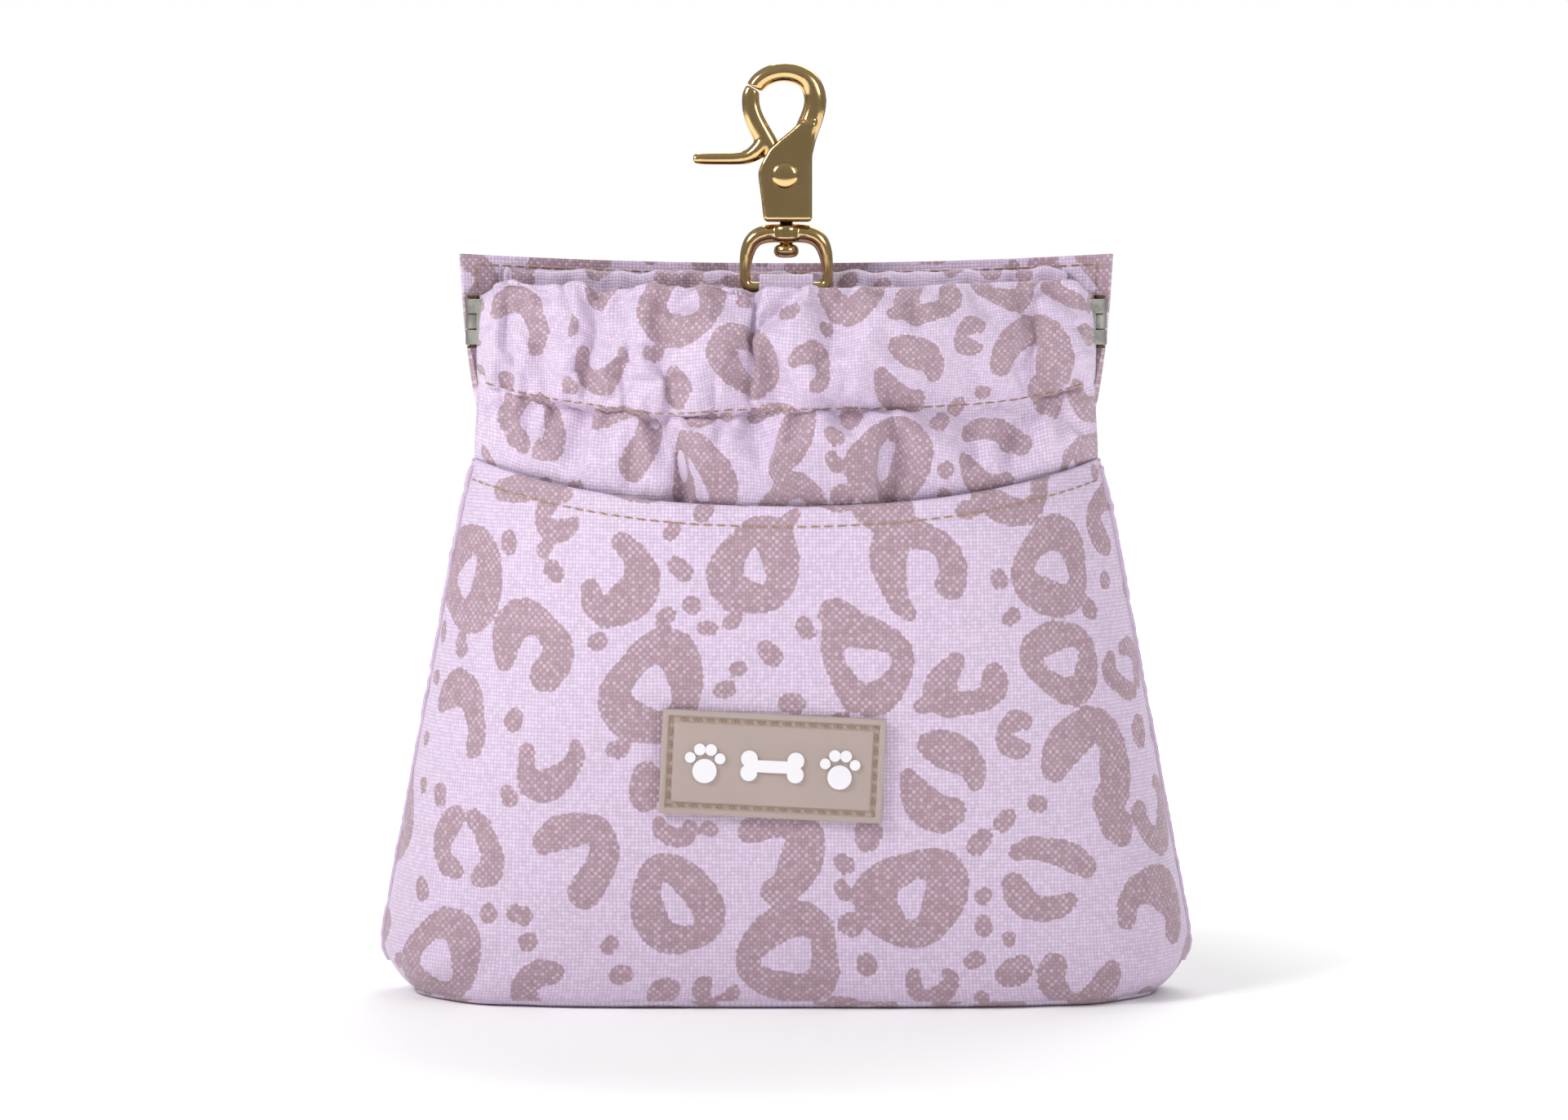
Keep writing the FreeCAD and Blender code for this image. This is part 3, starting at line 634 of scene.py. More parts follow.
gathers = dict(
    lip=156.6, seam=129.9, bow=21.0, reach=68.0, puff=4.8, pinch=1.3, end=68.3, foot=97.0,
    frames=26, weight=0.05, stiff=11.0, press=1.2, surplus=0.24,
    cut=(176.0, 31.0, 7.0, 27.0, 40.0),       # flat width, then lengths of outer face, lip, inner face and wall
    folds=[(-40.2, -44.6, 4.6, 1.7, 170, 134), (-6.9, -8.2, 4.4, 1.0, 170, 131), (-28.0, -25.5, 2.8, 1.8, 147, 128),
           (-57.0, -50.5, 3.2, 2.6, 149, 133), (-33.0, -35.5, 2.4, 1.5, 145, 129), (-17.5, -15.5, 1.3, 1.3, 139, 129),
           (41.0, 38.5, 1.3, 1.5, 139, 128), (54.0, 51.0, 1.6, 1.8, 150, 130), (-62.0, -60.0, 1.4, 1.4, 152, 138),
           (-48.5, -47.5, 1.3, 1.3, 170, 149), (27.0, 28.5, 0.8, 1.6, 170, 149), (13.0, 12.0, 0.9, 1.2, 137, 128)])


def stripY(x):
    rise = gathers["bow"] * cos(pi * min(abs(x), gathers["reach"]) / 2 / gathers["reach"])
    return pinY - 1.6 - rise


def seamLine(x):
    return gathers["seam"] + 4.0 * (abs(x) / 62) ** 4 - 1.3 * math.exp(-((x + 27) / 12) ** 2)


def lipLine(x):
    dip = sum(0.36 * depth * math.exp(-abs((x - top) / (width * 1.5)) ** 1.5)
              for top, low, depth, width, high, foot in gathers["folds"] if high > 165)
    ends = 1.4 * smoothStep(10, 60, x) + 0.9 * smoothStep(-20, -55, x) - 2.4 * smoothStep(62.5, 68, abs(x))
    lump = (0.9 * smoothStep(20, -20, x) + 0.35) * wave(x, 0, 2, 10, 9)
    return gathers["lip"] + ends - dip + lump


def foldDepth(x, z):
    total = 0.0
    for top, low, depth, width, high, foot in gathers["folds"]:
        share = (157 - z) / (157 - gathers["seam"])
        middle = top + (low - top) * share + 0.5 * sin(z * 0.5 + top)
        near = abs(x - middle) / width
        if near < 5:
            run = smoothStep(foot - 6, foot + 5, z) * smoothStep(high + 3, high - 5, z)
            total += depth * math.exp(-near ** 1.25) * run
    return total


def turnIn(x):
    # the channel's ends curve back round the strip's ends
    return 0.30 * max(0.0, abs(x) - 63.8) ** 1.9


def pucker(x, seed):
    # small crowding of the gathered cloth along a line of stitches
    crowd = 0.35 + 0.65 * smoothStep(15, -25, x) + 0.3 * smoothStep(35, 60, x)
    return crowd * (0.75 * wave(x, 0, seed, 2.9, 1) + 0.5 * wave(x, 0, seed + 3, 6.5, 1))


def channelOuter(x, z):
    low, high = seamLine(x), lipLine(x)
    t = min(1.0, max(0.0, (z - low) / (high - low)))
    puff = gathers["pinch"] + (gathers["puff"] - gathers["pinch"]) * sin(pi * t) ** 0.55
    return (stripY(x) + turnIn(x) - puff - pucker(x, 4) * (1 - smoothStep(0, 0.25, t)) * 0.8
            - pucker(x, 9) * smoothStep(0.75, 1, t) * 0.5 + foldDepth(x, z) * 0.8)


def wallFace(x, z):
    # below the stitches the cloth falls back into the pocket's mouth in long slanting rucks
    low = seamLine(x)
    t = max(0.0, low - z)
    rest = seamY - 20.5 * crownAt(max(-1.0, min(1.0, x / 68.0)), 110)
    top = stripY(x) + turnIn(x) - gathers["pinch"] - pucker(x, 4) * 0.8
    ruck = 0.0
    for at, foot, depth, width, high, end in gathers["folds"]:
        if end < 136:
            spread = width * (1.5 + t * 0.15)
            lean = foot + 0.22 * t * (1 if foot > -20 else -1)
            ruck += depth * 0.7 * math.exp(-(abs(x - lean) / spread) ** 1.6) * math.exp(-((t - 1.0) / 10.0) ** 2)
    belly = 1.6 * sin(pi * min(1.0, t / 26.0)) ** 0.7 if t < 26 else 0.0
    return top + (rest - top) * smoothStep(4, 36, t) - belly + ruck


def frontMouth():
    # one piece of cloth: up the wall, across the stitches, over the lip and down behind the spring strip
    g = gathers
    lipR = 1.9
    width, outer, lip, inner, wall = g["cut"]
    whole = outer + lip + inner + wall
    marks = [wall / whole, (wall + outer) / whole, (wall + outer + lip) / whole]

    def place(a, b):
        x = g["end"] * (2 * a - 1)
        low, high = seamLine(x), lipLine(x)
        if b < marks[0]:
            z = g["foot"] + (low - g["foot"]) * b / marks[0]
            return x * (1 + 0.03 * smoothStep(low, g["foot"], z)), wallFace(x, z), z
        if b <= marks[1]:
            z = low + (high - lipR - low) * (b - marks[0]) / (marks[1] - marks[0])
            return x, channelOuter(x, z), z
        start, back = channelOuter(x, high - lipR), stripY(x) + turnIn(x) * 0.8 + 1.9
        if b <= marks[2]:
            turn = pi * (b - marks[1]) / (marks[2] - marks[1])
            middle, half = (start + back) / 2, (back - start) / 2
            return x, middle - half * cos(turn), high - lipR + lipR * sin(turn)
        z = high - lipR - (high - lipR - low) * (b - marks[2]) / (1 - marks[2])
        t = (z - low) / (high - low)
        return x, stripY(x) + turnIn(x) * 0.8 + 0.6 + 1.3 * sin(pi * min(1, t + 0.1)) ** 0.5, z

    def held(co, uv):
        b = uv[1] / whole
        edge = abs(uv[0]) > width / 2 - 1.5
        return (edge or b < 0.02 or abs(b - marks[0]) < 0.006 or b > marks[1] + 0.02
                or foldDepth(co.x, co.z) > 1.5 and b > marks[0])

    smooth = lambda co: smoothStep(0, 30, co.x) * (1 - 0.6 * smoothStep(45, 60, co.x)) * smoothStep(118, 132, co.z)
    flat = lambda a, b: (width * (a - 0.5), whole * b)
    piece = clothSheet("frontMouthCloth", 120, 84, place, flat, canvasCloth, printed=False)
    settleCloth(piece, held, smooth, g["frames"], g["weight"], g["stiff"], g["press"], g["surplus"])
    layer, mesh = piece.data.uv_layers["cloth"].data, piece.data
    rows = {loop.vertex_index: layer[loop.index].uv[1] / whole for loop in mesh.loops}
    for v in mesh.vertices:
        x, y, z = v.co / mm
        if marks[0] <= rows[v.index] <= marks[1]:        # the folds stop at the spring strip
            v.co.y = min(y, stripY(x) + turnIn(x) - 1.2) * mm
        elif rows[v.index] < marks[0]:                   # and the wall stays behind the slip pocket
            top = mouthHeight(x)
            share = max(-1.0, min(1.0, x / follow(shell["width"], 114)))
            crown = crownAt(share, min(z, top))
            rear = seamY - (follow(shell["front"], min(z, top)) - 0.28 * max(0.0, top - z)) * crown + 2.8
            v.co.y = max(y, rear - 0.55 * max(0.0, z - top)) * mm
    smooth = piece.modifiers.new("fineGrid", "SUBSURF")
    smooth.levels = smooth.render_levels = 1
    bake(piece)
    dyePrint(piece)
    thicken(piece, 0.6, offset=-1.0)
    return piece


backGathers = dict(lip=160.6, foot=136.0, half=62.0, thick=2.2)


def backChannel():
    g = backGathers
    middleY = (backLow.y + backHigh.y) / 2 + 2.6

    def path(x):
        return middleY + 5.5 * cos(pi * x / 2 / 68) - 5.5

    def place(a, b):
        x = -g["half"] + 2 * g["half"] * a
        lip = g["lip"] - 0.7 + 1.3 * wave(x, 0, 7, 6, 5) + 0.8 * (abs(x) / 62) ** 2
        ruck = 1.5 * wave(x, 0, 11, 3.8, 10) + 0.6 * wave(x, b * 20, 12, 6, 8)
        if b < 0.45:
            z = g["foot"] + (lip - 1.6 - g["foot"]) * b / 0.45
            return x, path(x) - g["thick"] + ruck * smoothStep(0, 0.2, b), z
        if b < 0.55:
            turn = pi * (b - 0.45) / 0.10
            return x, path(x) + (ruck - g["thick"]) * cos(turn), lip - 1.6 + 1.6 * sin(turn)
        z = lip - 1.6 - (lip - 1.6 - g["foot"]) * (b - 0.55) / 0.45
        return x, path(x) + g["thick"] * 0.9, z

    piece = clothSheet("backMouthChannel", 240, 60, place, lambda a, b: (-70 + 140 * a, 54 * b), canvasCloth,
                       shift=(-23, 190))
    thicken(piece, 0.6)
    return piece


def linings():
    def front(a, b):
        share = sin(pi / 2 * (2 * a - 1) * 0.96)
        z = 4 + 124 * b
        half = follow(shell["width"], min(z, 116)) - 4.5
        x = half * share * (1 - 0.06 * smoothStep(110, 128, z))
        low = seamY - 17.0 * crownAt(share, z)
        high = wallFace(max(-66.0, min(66.0, x)), z) + 2.4
        y = low + (high - low) * smoothStep(95, 120, z)
        return x, min(y, seamY - 0.8) + 0.4 * wave(x, z, 15, 12, 16), z

    def back(a, b):
        share = sin(pi / 2 * (2 * a - 1) * 0.96)
        z = 4 + 132 * b
        x, y, z = panelPoint(share, z, 3.4)
        return x * 0.985, max(y, seamY - 0.6) + 0.5 * wave(x, z, 17, 14, 18), z

    def floor(a, b):
        share = sin(pi / 2 * (2 * a - 1) * 0.96)
        f, r = front(a, 0.0), back(a, 0.0)
        return f[0], f[1] + (r[1] - f[1]) * b, 4.0 - 0.8 * sin(pi * b) * (1 - share ** 4)

    pieces = []
    for name, place in (("liningFront", front), ("liningBack", back), ("liningFloor", floor)):
        piece = clothSheet(name, 100, 70, place, lambda a, b: (170 * a, 130 * b), liningCloth, printed=False)
        thicken(piece, 0.3, offset=0.0)
        pieces.append(piece)
    return pieces


def seamTape(side):
    def place(a, b):
        z = 7 + (116.5 - 7) * b
        half = follow(shell["width"], z)
        around = 2 * pi * a
        ragged = 0.25 * wave(b * 100, side, 21, 1.6, 1) + 0.25 * wave(b * 100, side, 22, 5, 1)
        return (side * (half + 0.1 + 0.75 * cos(around) + ragged), seamY + 0.75 * sin(around) + ragged * 0.5,
                z + 0.4 * sin(pi / 2 * (2 * b - 1)))

    name = "seamTapeLeft" if side < 0 else "seamTapeRight"
    piece = clothSheet(name, 12, 260, place, lambda a, b: (4 * a, 110 * b), tapeCloth, printed=False)
    bm = bmesh.new()
    bm.from_mesh(piece.data)
    bmesh.ops.remove_doubles(bm, verts=bm.verts, dist=0.01 * mm)
    bmesh.ops.holes_fill(bm, edges=[e for e in bm.edges if e.is_boundary])
    bmesh.ops.recalc_face_normals(bm, faces=bm.faces)
    bm.to_mesh(piece.data)
    bm.free()
    return piece


# ---------- the spring strip ----------

strip = dict(low=144.0, high=154.0, thick=0.5, round=0.8)


def frontStrip():
    # a flat steel strip in the channel; it unbends as the mouth closes
    def place(a, b):
        x = -66.3 + 132.6 * a
        corner = max(0.0, abs(x) - 65.4) * strip["round"]
        return x, stripY(x), strip["low"] + corner + (strip["high"] - strip["low"] - 2 * corner) * b

    piece = clothSheet("frontSpringStripBent", 120, 6, place, lambda a, b: (133 * a, 10 * b), nickel, printed=False)
    thicken(piece, strip["thick"], offset=0.0, bevel=0.12)
    return piece


# ---------- stitches ----------

stitch = dict(length=2.3, width=0.42, height=0.34, pitch=2.9)


def surfaceOf(piece):
    # the finished cloth, for laying thread on it
    graph = bpy.context.evaluated_depsgraph_get()
    return BVHTree.FromObject(piece, graph)


def layStitches(name, tree, rows, lift=0.12, size=1.0):
    # rows are lines of points in front of the cloth; each stitch is dropped straight back onto it
    bm, s, toward = bmesh.new(), stitch, Vector((0, 1, 0))
    for row in rows:
        line = []
        for x, y, z in row:
            hit, normal, index, gap = tree.ray_cast(Vector((x, y, z)) * mm, toward)
            if hit is not None:
                if normal.dot(toward) > 0:
                    normal = -normal
                line.append((hit + normal * lift * mm, normal))
        travelled, due = 0.0, 0.0
        for (a, normal), (b, unused) in zip(line, line[1:]):
            step = (b - a).length / mm
            if step > 4:
                continue
            while due < travelled + step:
                at = a + (b - a) * ((due - travelled) / max(step, 1e-6))
                along = (b - a).normalized()
                side = normal.cross(along).normalized()
                up = along.cross(side)
                turn = Matrix((along, side, up)).transposed().to_4x4()
                ball = bmesh.ops.create_uvsphere(bm, u_segments=6, v_segments=5, radius=0.5)
                shape = Matrix.Diagonal((s["length"] * size, s["width"] * size, s["height"] * size, 1)) * 1.0
                bmesh.ops.rotate(bm, verts=ball["verts"], cent=(0, 0, 0), matrix=Matrix.Rotation(pi / 2, 3, "Y"))
                bmesh.ops.transform(bm, verts=ball["verts"],
                                    matrix=Matrix.Translation(at) @ turn @ Matrix.Scale(mm, 4) @ shape)
                due += s["pitch"] * size
            travelled += step
    return makeObject(bm, name, thread)


def lineOf(low, high, count, point):
    return [point(low + (high - low) * i / count) for i in range(count + 1)]


# ---------- build the soft goods ----------

pocketPiece, mouthPiece, backChannelPiece = pocket(), frontMouth(), backChannel()
panelPiece, basePiece = backPanel(), basePanel()
liningPieces = linings()
stripPiece = frontStrip()
tapes = [seamTape(-1), seamTape(1)]
print("cloth cut and folded")

bpy.context.view_layer.update()
pocketStitches = layStitches("pocketHemStitches", surfaceOf(pocketPiece),
                             [lineOf(-69, 69, 200, lambda x: (x, -60, mouthHeight(x) - 4.4))])
channelStitches = layStitches("channelStitches", surfaceOf(mouthPiece),
                              [lineOf(-65, 65, 200, lambda x: (x, -60, seamLine(x) + 0.7))])


def panelEdge(inset):
    top = lambda s: panelTop(s) - inset
    side = lambda z: follow(shell["panel"], z) - inset - 1.2
    left = [(-side(z), -60, z) for z in range(120, 161, 2)]
    across = lineOf(-1, 1, 120, lambda s: (s * side(161), -60, top(s)))
    right = [(side(z), -60, z) for z in range(160, 119, -2)]
    return [left + across + right]


panelStitches = layStitches("panelEdgeStitches", surfaceOf(panelPiece), panelEdge(2.2))
print("stitching laid")


# ---------- the hanging tab ----------

tab = dict(half=6.0, foot=138.0, front=6.5, back=8.6, turn=2.45, join=149.5, edge=1.1)


def hangingTab():
    # one strap up from the back panel, over the bar of the eye and down again
    t = tab
    centre = (hookY, eyeLow.z + 1.35)
    route = [(t["front"], t["foot"]), (t["front"], 143.0), (t["front"] - 0.1, t["join"]), (hookY - 1.6, 152.6),
             (hookY - t["turn"], 154.6)]
    for i in range(13):
        angle = radians(190 - 200 * i / 12)
        route.append((centre[0] + t["turn"] * cos(angle), centre[1] + t["turn"] * sin(angle)))
    route += [(t["back"] - 0.2, 153.0), (t["back"], 149.5), (t["back"], 143.0), (t["back"], t["foot"])]
    reach = [0.0]
    for (y0, z0), (y1, z1) in zip(route, route[1:]):
        reach.append(reach[-1] + hypot(y1 - y0, z1 - z0))

    def place(a, b):
        at = b * reach[-1]
        i = max(k for k in range(len(reach) - 1) if reach[k] <= at + 1e-9)
        f = (at - reach[i]) / (reach[i + 1] - reach[i])
        y, z = (route[i][k] + (route[i + 1][k] - route[i][k]) * f for k in (0, 1))
        return t["half"] * (2 * a - 1), y, z

    piece = clothSheet("hangingTabStrap", 16, 90, place, lambda a, b: (12 * a, reach[-1] * b), canvasCloth,
                       printed=False)
    thicken(piece, 1.0, offset=0.0, bevel=0.3)
    return piece


tabPiece = hangingTab()
bpy.context.view_layer.update()
tabRows = [lineOf(139, 152, 30, lambda z, x=side * (tab["half"] - tab["edge"]): (x, -60, z)) for side in (-1, 1)]
tabStitches = layStitches("tabEdgeStitches", surfaceOf(tabPiece), tabRows, size=0.9)
rideOn(tabPiece, "pouch", "strap_webbing", "hanging_tab")
rideOn(tabStitches, "pouch", "thread", "tab_stitching")


# ---------- the moulded label ----------

label = dict(width=48.0, height=22.5, thick=1.6, rim=1.25, groove=1.0, deep=0.55, tilt=2.8, round=0.22)


def mouldedLabel():
    # a soft moulded patch: raised rim, a sewing groove and a flush field
    l = label
    centre = (labelLow + labelHigh) / 2
    bm = bmesh.new()
    bmesh.ops.create_grid(bm, x_segments=1, y_segments=1, size=0.5)
    bmesh.ops.scale(bm, vec=(l["width"] * mm, l["height"] * mm, 1), verts=bm.verts)
    grown = bmesh.ops.extrude_face_region(bm, geom=list(bm.faces))
    top = [g for g in grown["geom"] if isinstance(g, bmesh.types.BMFace)]
    bmesh.ops.translate(bm, vec=(0, 0, l["thick"] * mm), verts=list({v for f in top for v in f.verts}))
    for inset, rise in ((l["rim"], 0.0), (l["round"], -l["deep"]), (l["groove"], 0.0), (l["round"], l["deep"])):
        bmesh.ops.inset_region(bm, faces=top, thickness=inset * mm, depth=0.0, use_even_offset=True)
        bmesh.ops.translate(bm, vec=(0, 0, rise * mm), verts=list({v for f in top for v in f.verts}))
    bmesh.ops.bevel(bm, geom=[e for e in bm.edges if e.calc_face_angle(0) > 0.8], offset=0.2 * mm, segments=3,
                    offset_type="OFFSET", profile=0.5, affect="EDGES", material=-1, clamp_overlap=True)
    for normal, half in (((1, 0, 0), l["width"] / 2), ((0, 1, 0), l["height"] / 2)):
        for i in range(-7, 8):
            at = Vector(normal) * half * i / 7.5 * mm
            bmesh.ops.bisect_plane(bm, geom=list(bm.verts) + list(bm.edges) + list(bm.faces), dist=1e-7,
                                   plane_co=at, plane_no=normal)
    bmesh.ops.recalc_face_normals(bm, faces=bm.faces)
    bmesh.ops.rotate(bm, verts=bm.verts, cent=(0, 0, 0), matrix=Matrix.Rotation(pi / 2, 3, "X"))
    bmesh.ops.rotate(bm, verts=bm.verts, cent=(0, 0, 0), matrix=Matrix.Rotation(radians(l["tilt"]), 3, "Y"))
    bmesh.ops.translate(bm, verts=bm.verts, vec=Vector((centre.x, labelHigh.y, centre.z)) * mm)
    piece = makeObject(bm, "mouldedLabelPatch", labelPvc)
    piece.data.set_sharp_from_angle(angle=radians(40))
    return piece


def copyNode(node, name, material):
    # a welded copy of a part that has to bend with the cloth
    bm = bmesh.new()
    bm.from_mesh(frame["nodes"][node].data)
    bmesh.ops.transform(bm, verts=bm.verts, matrix=frame["nodes"][node].matrix_world)
    weld(bm, 0.002)
    return makeObject(bm, name, material, smooth=False)


labelPiece = mouldedLabel()
motifPiece = copyNode("label_motif", "labelPawMotif", motifPvc)
softenEdges(motifPiece, 0.12, 2)
bpy.context.view_layer.update()


def labelStitchRows():
    # a closed run of stitches down the middle of the groove
    inset = label["rim"] + label["round"] + label["groove"] / 2
    w, h = label["width"] / 2 - inset, label["height"] / 2 - inset
    corners = [(-w, -h), (w, -h), (w, h), (-w, h), (-w, -h)]
    turn = radians(label["tilt"])
    middle = (labelLow + labelHigh) / 2
    rows = []
    for (x0, z0), (x1, z1) in zip(corners, corners[1:]):
        count = int(hypot(x1 - x0, z1 - z0) / 0.6)
        row = []
        for i in range(count + 1):
            x, z = x0 + (x1 - x0) * i / count, z0 + (z1 - z0) * i / count
            row.append((middle.x + x * cos(turn) + z * sin(turn), -60,
                        middle.z - x * sin(turn) + z * cos(turn)))
        rows.append(row)
    return rows


labelStitches = layStitches("labelGrooveStitches", surfaceOf(labelPiece), labelStitchRows(), lift=0.2, size=0.95)


# ---------- the trigger hook ----------
# Cast brass: bars and plates run together and rounded off as casting does. Places are (x, z, radius) in millimetres.

hook = dict(
    voxel=0.26, soften=7, half=3.3, slot=1.75,
    loop=[(-6.9, 200.3, 2.0), (-6.2, 201.6, 2.05), (-4.2, 203.1, 2.1), (-0.9, 203.9, 2.15), (2.4, 203.5, 2.25),
          (5.1, 201.9, 2.35), (6.5, 199.0, 2.45), (6.4, 195.9, 2.5), (5.2, 192.6, 2.6), (3.9, 189.6, 2.7),
          (3.4, 186.5, 2.6)],
    cheek=[(-4.9, 170.9), (-6.3, 181.6), (-5.4, 184.0), (-3.8, 186.9), (-1.4, 189.0), (1.3, 191.2), (3.2, 193.0),
           (6.9, 192.9), (5.9, 189.2), (5.7, 185.0), (5.7, 170.9)],
    gate=[(-0.6, 182.0, 1.9), (-2.6, 185.4, 2.3), (-4.9, 189.4, 2.4), (-7.0, 193.2, 2.15), (-8.0, 196.6, 2.0),
          (-7.9, 199.2, 1.95), (-7.3, 200.2, 1.6)],
    lever=[(-4.6, 189.2, 1.6), (-5.6, 187.2, 2.0), (-7.4, 185.4, 1.75), (-9.8, 184.8, 1.5), (-13.5, 184.75, 1.42),
           (-19.8, 184.75, 1.42), (-20.5, 184.75, 0.9)],
    eye=[(0, 156.5, 1.35), (-6.4, 156.5, 1.35), (-8.2, 156.4, 1.3), (-9.0, 157.0, 1.25), (-9.1, 158.6, 1.2),
         (-9.1, 161.0, 1.3), (-8.7, 164.2, 1.6), (-7.6, 166.9, 1.9), (-5.2, 168.4, 2.05), (0, 168.5, 2.1),
         (5.2, 168.4, 2.05), (7.6, 166.9, 1.9), (8.7, 164.2, 1.6), (9.1, 161.0, 1.3), (9.1, 158.6, 1.2),
         (9.0, 157.0, 1.25), (8.2, 156.4, 1.3), (6.4, 156.5, 1.35)])


def barAlong(points, closed=False, flatten=1.0):
    path = [(x, hookY, z) for x, z, r in points]
    piece = tubeAlong("bar", path, [r for x, z, r in points], brass, closed=closed)
    if flatten != 1.0:
        for v in piece.data.vertices:
            v.co.y = (hookY + (v.co.y / mm - hookY) * flatten) * mm
    return piece


def plateOf(outline, low, high, round_):
    # a flat outline in x and z, given thickness in y and a rounded edge
    bm = bmesh.new()
    face = bm.faces.new([bm.verts.new((x * mm, low * mm, z * mm)) for x, z in outline])
    grown = bmesh.ops.extrude_face_region(bm, geom=[face])
    bmesh.ops.translate(bm, vec=(0, (high - low) * mm, 0),
                        verts=[g for g in grown["geom"] if isinstance(g, bmesh.types.BMVert)])
    bmesh.ops.recalc_face_normals(bm, faces=bm.faces)
    bmesh.ops.bevel(bm, geom=list(bm.edges), offset=round_ * mm, offset_type="OFFSET", segments=3, profile=0.5,
                    affect="EDGES", material=-1, clamp_overlap=True)
    return makeObject(bm, "plate", brass)


def spunPiece(profile, centre, axis, name, material):
    # a turned part: profile is (radius, height) in millimetres, spun round its axis
    bm = bmesh.new()
    verts = [bm.verts.new((r * mm, 0, h * mm)) for r, h in profile]
    edges = [bm.edges.new(pair) for pair in zip(verts, verts[1:])]
    bmesh.ops.spin(bm, geom=verts + edges, cent=(0, 0, 0), axis=(0, 0, 1), angle=2 * pi, steps=40,
                   use_merge=True, use_duplicate=False)
    weld(bm, 0.001)
    if axis == "Y":
        bmesh.ops.rotate(bm, verts=bm.verts, cent=(0, 0, 0), matrix=Matrix.Rotation(pi / 2, 3, "X"))
    bmesh.ops.translate(bm, verts=bm.verts, vec=Vector(centre) * mm)
    return makeObject(bm, name, material)


def castTogether(name, parts):
    # runs the parts into one casting
    mesh = bpy.data.meshes.new(name)
    bm = bmesh.new()
    for part in parts:
        bm.from_mesh(part.data)
        bpy.data.objects.remove(part)
    bm.to_mesh(mesh)
    bm.free()
    piece = placeObject(name, mesh)
    remesh = piece.modifiers.new("runTogether", "REMESH")
    remesh.mode, remesh.voxel_size = "VOXEL", hook["voxel"] * mm
    soften = piece.modifiers.new("soften", "SMOOTH")
    soften.factor, soften.iterations = 0.5, hook["soften"]
    bake(piece)
    piece.data.materials.clear()
    piece.data.materials.append(brass)
    piece.data.shade_smooth()
    return piece


def buildHook():
    h = hook
    back, front = hookY + h["half"], hookY - h["half"]
    foot = [(-4.9, 170.9), (-5.5, 175.6), (5.7, 175.6), (5.7, 170.9)]
    spine = [(3.6, 174.0), (3.6, 191.0), (6.2, 191.0), (5.7, 185.0), (5.7, 174.0)]
    body = castTogether("hookBodyCast", [
        barAlong(h["loop"]), plateOf(h["cheek"], front, hookY - h["slot"], 0.75),
        plateOf(h["cheek"], hookY + h["slot"], back, 0.75), plateOf(foot, front, back, 0.7),
        plateOf(spine, front + 0.1, back - 0.1, 0.6)])
    hub = spunPiece([(0, -1.5), (3.0, -1.5), (3.3, -1.2), (3.3, 1.2), (3.0, 1.5), (0, 1.5)],
                    (rivetPoint.x, hookY, rivetPoint.z), "Y", "hub", brass)
    gate = castTogether("triggerGateCast", [hub, barAlong(h["gate"], flatten=0.68), barAlong(h["lever"])])
    boss = spunPiece([(0, 166.4), (2.7, 166.4), (3.2, 167.2), (3.2, 169.4), (2.8, 170.2), (0, 170.2)],
                     (0, hookY, 0), "Z", "boss", brass)
    eye = castTogether("swivelEyeCast", [barAlong(h["eye"], closed=True), boss])
    stud = spunPiece([(0, 163.0), (1.3, 163.05), (2.2, 163.35), (2.65, 163.9), (2.75, 164.6), (2.6, 165.3),
                      (2.1, 165.8), (1.45, 166.0), (1.45, 172.0), (0, 172.0)],
                     (0, hookY, 0), "Z", "swivelStudTurned", brass)
    dome = [(0, 4.0), (0.9, 3.97), (1.7, 3.86), (2.3, 3.7), (2.75, 3.48), (2.95, 3.2)]
    profile = [(r, -z) for r, z in dome] + [(1.35, 3.15 - 6.3), (1.35, 3.15)] + dome[::-1]
    rivet = spunPiece(profile, (rivetPoint.x, hookY, rivetPoint.z), "Y", "gateRivetDomed", brass)
    for piece, rides, node in ((body, "hook", "hook_body"), (stud, "hook", "swivel_stud"), (eye, "eye", "swivel_eye"),
                               (rivet, "hook", "gate_rivet"), (gate, "gate", "trigger_gate")):
        rideOn(piece, rides, "hook_brass", node)


buildHook()
print("hook cast")


# ---------- who rides on what ----------

# the cloth moves most at the middle of the lip, and not at all at the side seams and the base; here the pieces
# that move are baked where they stand with their CAD parts hidden, and the still ones ride on the pouch
front, back, floor = liningPieces
moving = [(pocketPiece, "printed_canvas", "front_pocket"),
          (mouthPiece, "printed_canvas", "front_casing", "front_wall"), (front, "lining_cloth", "lining"),
          (pocketStitches, "thread", "pocket_topstitch"),
          (channelStitches, "thread", "casing_topstitch"), (stripPiece, "spring_steel", "front_spring_strip"),
          (labelPiece, "label_rubber", "label_patch"), (motifPiece, "label_print", "label_motif"),
          (labelStitches, "thread", "label_stitching")]
still = [(backChannelPiece, "printed_canvas", "back_casing"), (panelPiece, "printed_canvas", "back_panel"),
         (basePiece, "printed_canvas", "base_panel"), (back, "lining_cloth", "lining"),
         (floor, "lining_cloth", "lining"), (tapes[0], "seam_binding", "left_seam_tape"),
         (tapes[1], "seam_binding", "right_seam_tape"), (panelStitches, "thread", "panel_topstitch")]
for piece, slot, *nodes in moving:
    bake(piece)                      # turns the cloth's thickness and other modifiers into the mesh
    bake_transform(piece)
    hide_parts(*nodes)
for piece, slot, *nodes in still:
    rideOn(piece, "pouch", slot, *nodes)

# ---------- CAD pieces that keep their shape ----------

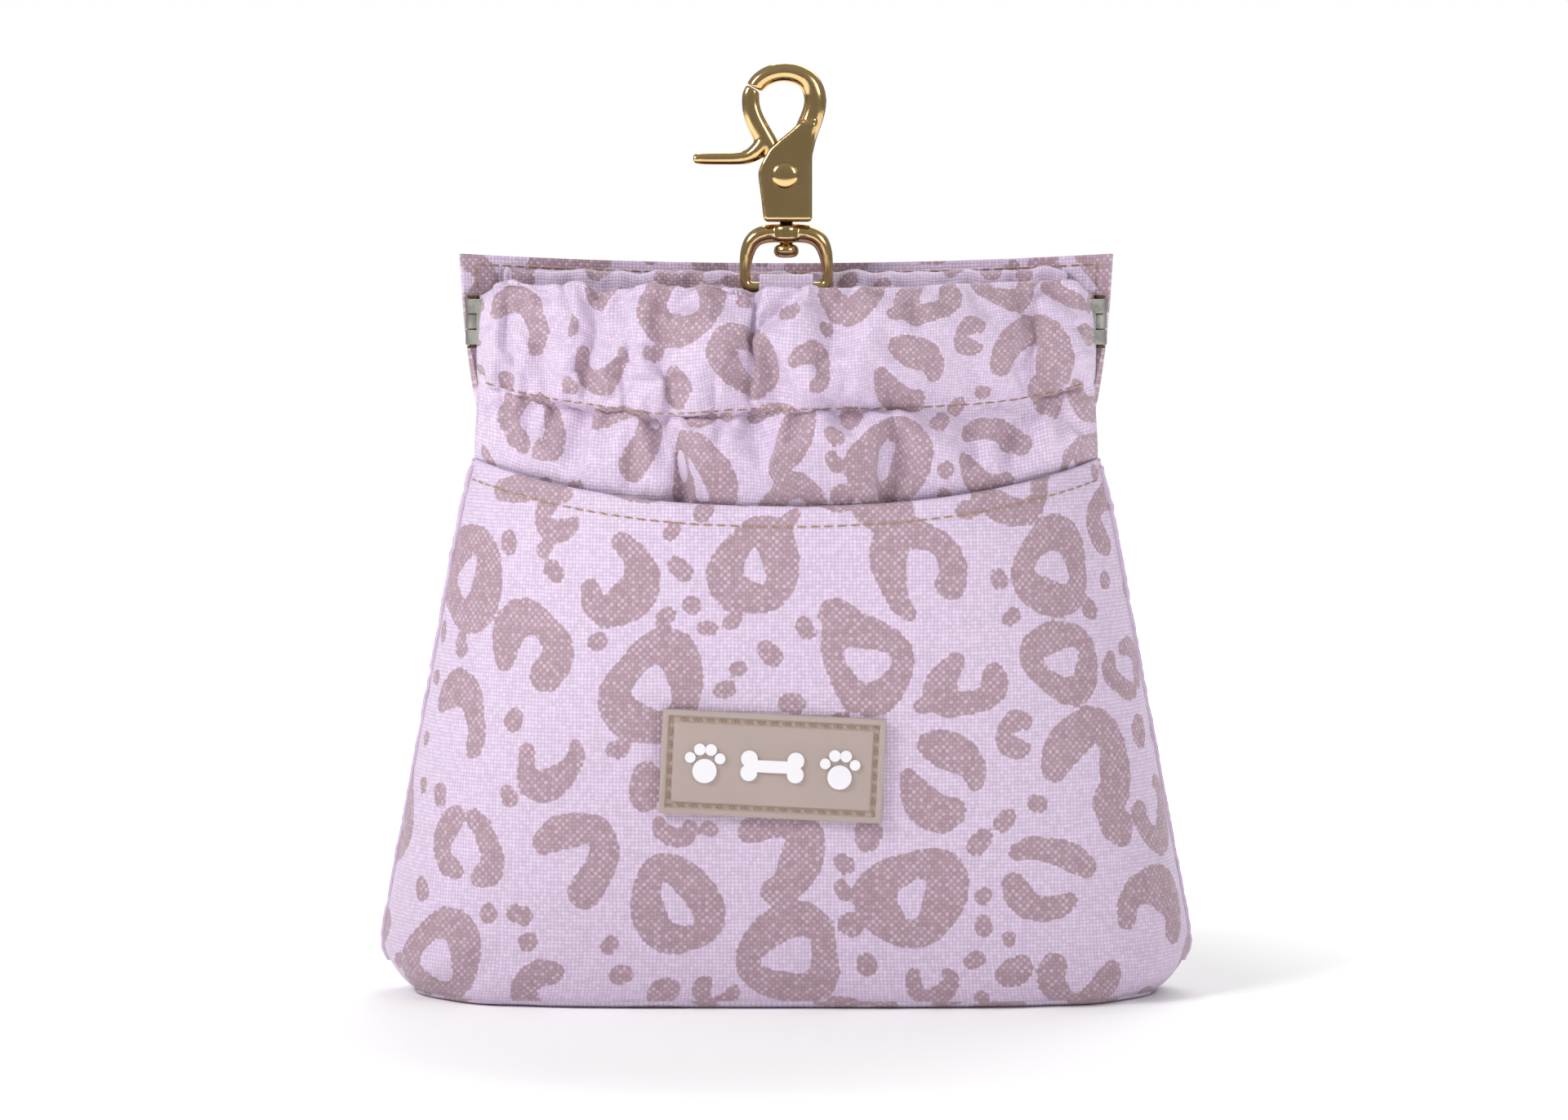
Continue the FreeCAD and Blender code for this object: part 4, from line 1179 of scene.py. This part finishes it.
finishes = dict(hook_brass=brass, coil_steel=nickel, spring_steel=nickel, hinge_steel=bronzedSteel,
                label_rubber=labelPvc, label_print=motifPvc, thread=thread, strap_webbing=canvasCloth)
slots = {s["node"]: s["material_slot"] for s in frame["record"]["subparts"]}
for node, part in frame["nodes"].items():
    if slots[node] in finishes and part.data:
        part.data.materials.clear()
        part.data.materials.append(nickel if "leaf" in node else finishes[slots[node]])
print("carried-over pieces finished")

# ---------- studio ----------

studio = dict(distance=0.9, lens=93.75, aim=(-0.0005, 0.0, 0.0966), elevation=4.0, floor="#FFFFFF", ambient=0.36,
              glow=(0.105, 0.3, 0.8), floorSize=1.1,
              lamps=[("keyBox", (-0.8, -0.55, 0.8), 0.4, 8.4), ("fillBox", (0.75, -0.8, 0.65), 0.45, 3.4),
                     ("rearBox", (0.2, 0.75, 0.9), 0.8, 6.0)])


def buildStudio():
    s = studio
    scene = bpy.context.scene
    scene.view_settings.view_transform = "Standard"
    camera = placeObject("camera", bpy.data.cameras.new("camera"))
    camera.data.lens, camera.data.sensor_width = s["lens"], 36.0
    up = radians(s["elevation"])
    aim = Vector(s["aim"])
    camera.location = aim + s["distance"] * Vector((0, -cos(up), sin(up)))
    camera.rotation_euler = (aim - camera.location).to_track_quat("-Z", "Y").to_euler()
    camera.data.clip_start, camera.data.clip_end = 0.01, 20
    scene.camera = camera

    bm = bmesh.new()
    bmesh.ops.create_grid(bm, x_segments=1, y_segments=1, size=s["floorSize"])
    floorMat, shader = newMaterial("paintedStudioFloor", {"Base Color": hexColor(s["floor"]), "Roughness": 0.9,
                                                          "Emission Color": hexColor("#FFFFFF")})
    # painted light: the floor glows, not at all within 0.105 m of the middle and rising to 0.8 at 0.3 m, so that far
    # off it reads white while the shade round the base stays
    away = addNode(floorMat, "VectorMath", {0: addNode(floorMat, "TexCoord").outputs["Object"]},
                   operation="LENGTH").outputs["Value"]
    glow = addNode(floorMat, "MapRange", {"Value": away, "From Min": s["glow"][0],
                                                    "From Max": s["glow"][1], "To Min": 0.0, "To Max": s["glow"][2]})
    floorMat.node_tree.links.new(glow.outputs[0], shader.inputs["Emission Strength"])
    floor = makeObject(bm, "studioFloor", floorMat, smooth=False)

    # a white tent seen by the camera, dimmer as light, darker low down so that metal has something to reflect
    world = bpy.data.worlds.new("studioWorld")
    scene.world = world
    world.use_nodes = True
    background = world.node_tree.nodes["Background"]
    seen = addNode(world, "LightPath").outputs["Is Camera Ray"]
    height = addNode(world, "SeparateXYZ", {0: addNode(world, "TexCoord").outputs["Generated"]})
    shade = addNode(world, "MapRange", {"Value": height.outputs[2], "From Min": -0.1, "From Max": 0.7,
                                                  "To Min": s["ambient"] * 0.8, "To Max": s["ambient"] * 1.2})
    front = addNode(world, "MapRange", {"Value": height.outputs[1], "From Min": -0.95, "From Max": -0.35,
                                                  "To Min": 0.95, "To Max": 1.0})
    strength = addNode(world, "Mix", {
        "Factor": seen, "A": calc(world, "MULTIPLY", shade.outputs[0], front.outputs[0]), "B": 1.0})
    world.node_tree.links.new(strength.outputs[0], background.inputs["Strength"])
    background.inputs["Color"].default_value = hexColor("#FFFFFF")

    for name, place, size, power in s["lamps"]:
        light = bpy.data.lights.new(name, "AREA")
        light.size, light.energy = size, power
        lamp = placeObject(name, light)
        lamp.location = place
        lamp.rotation_euler = (Vector((0, 0, 0.09)) - lamp.location).to_track_quat("-Z", "Y").to_euler()


buildStudio()
print("studio lit")
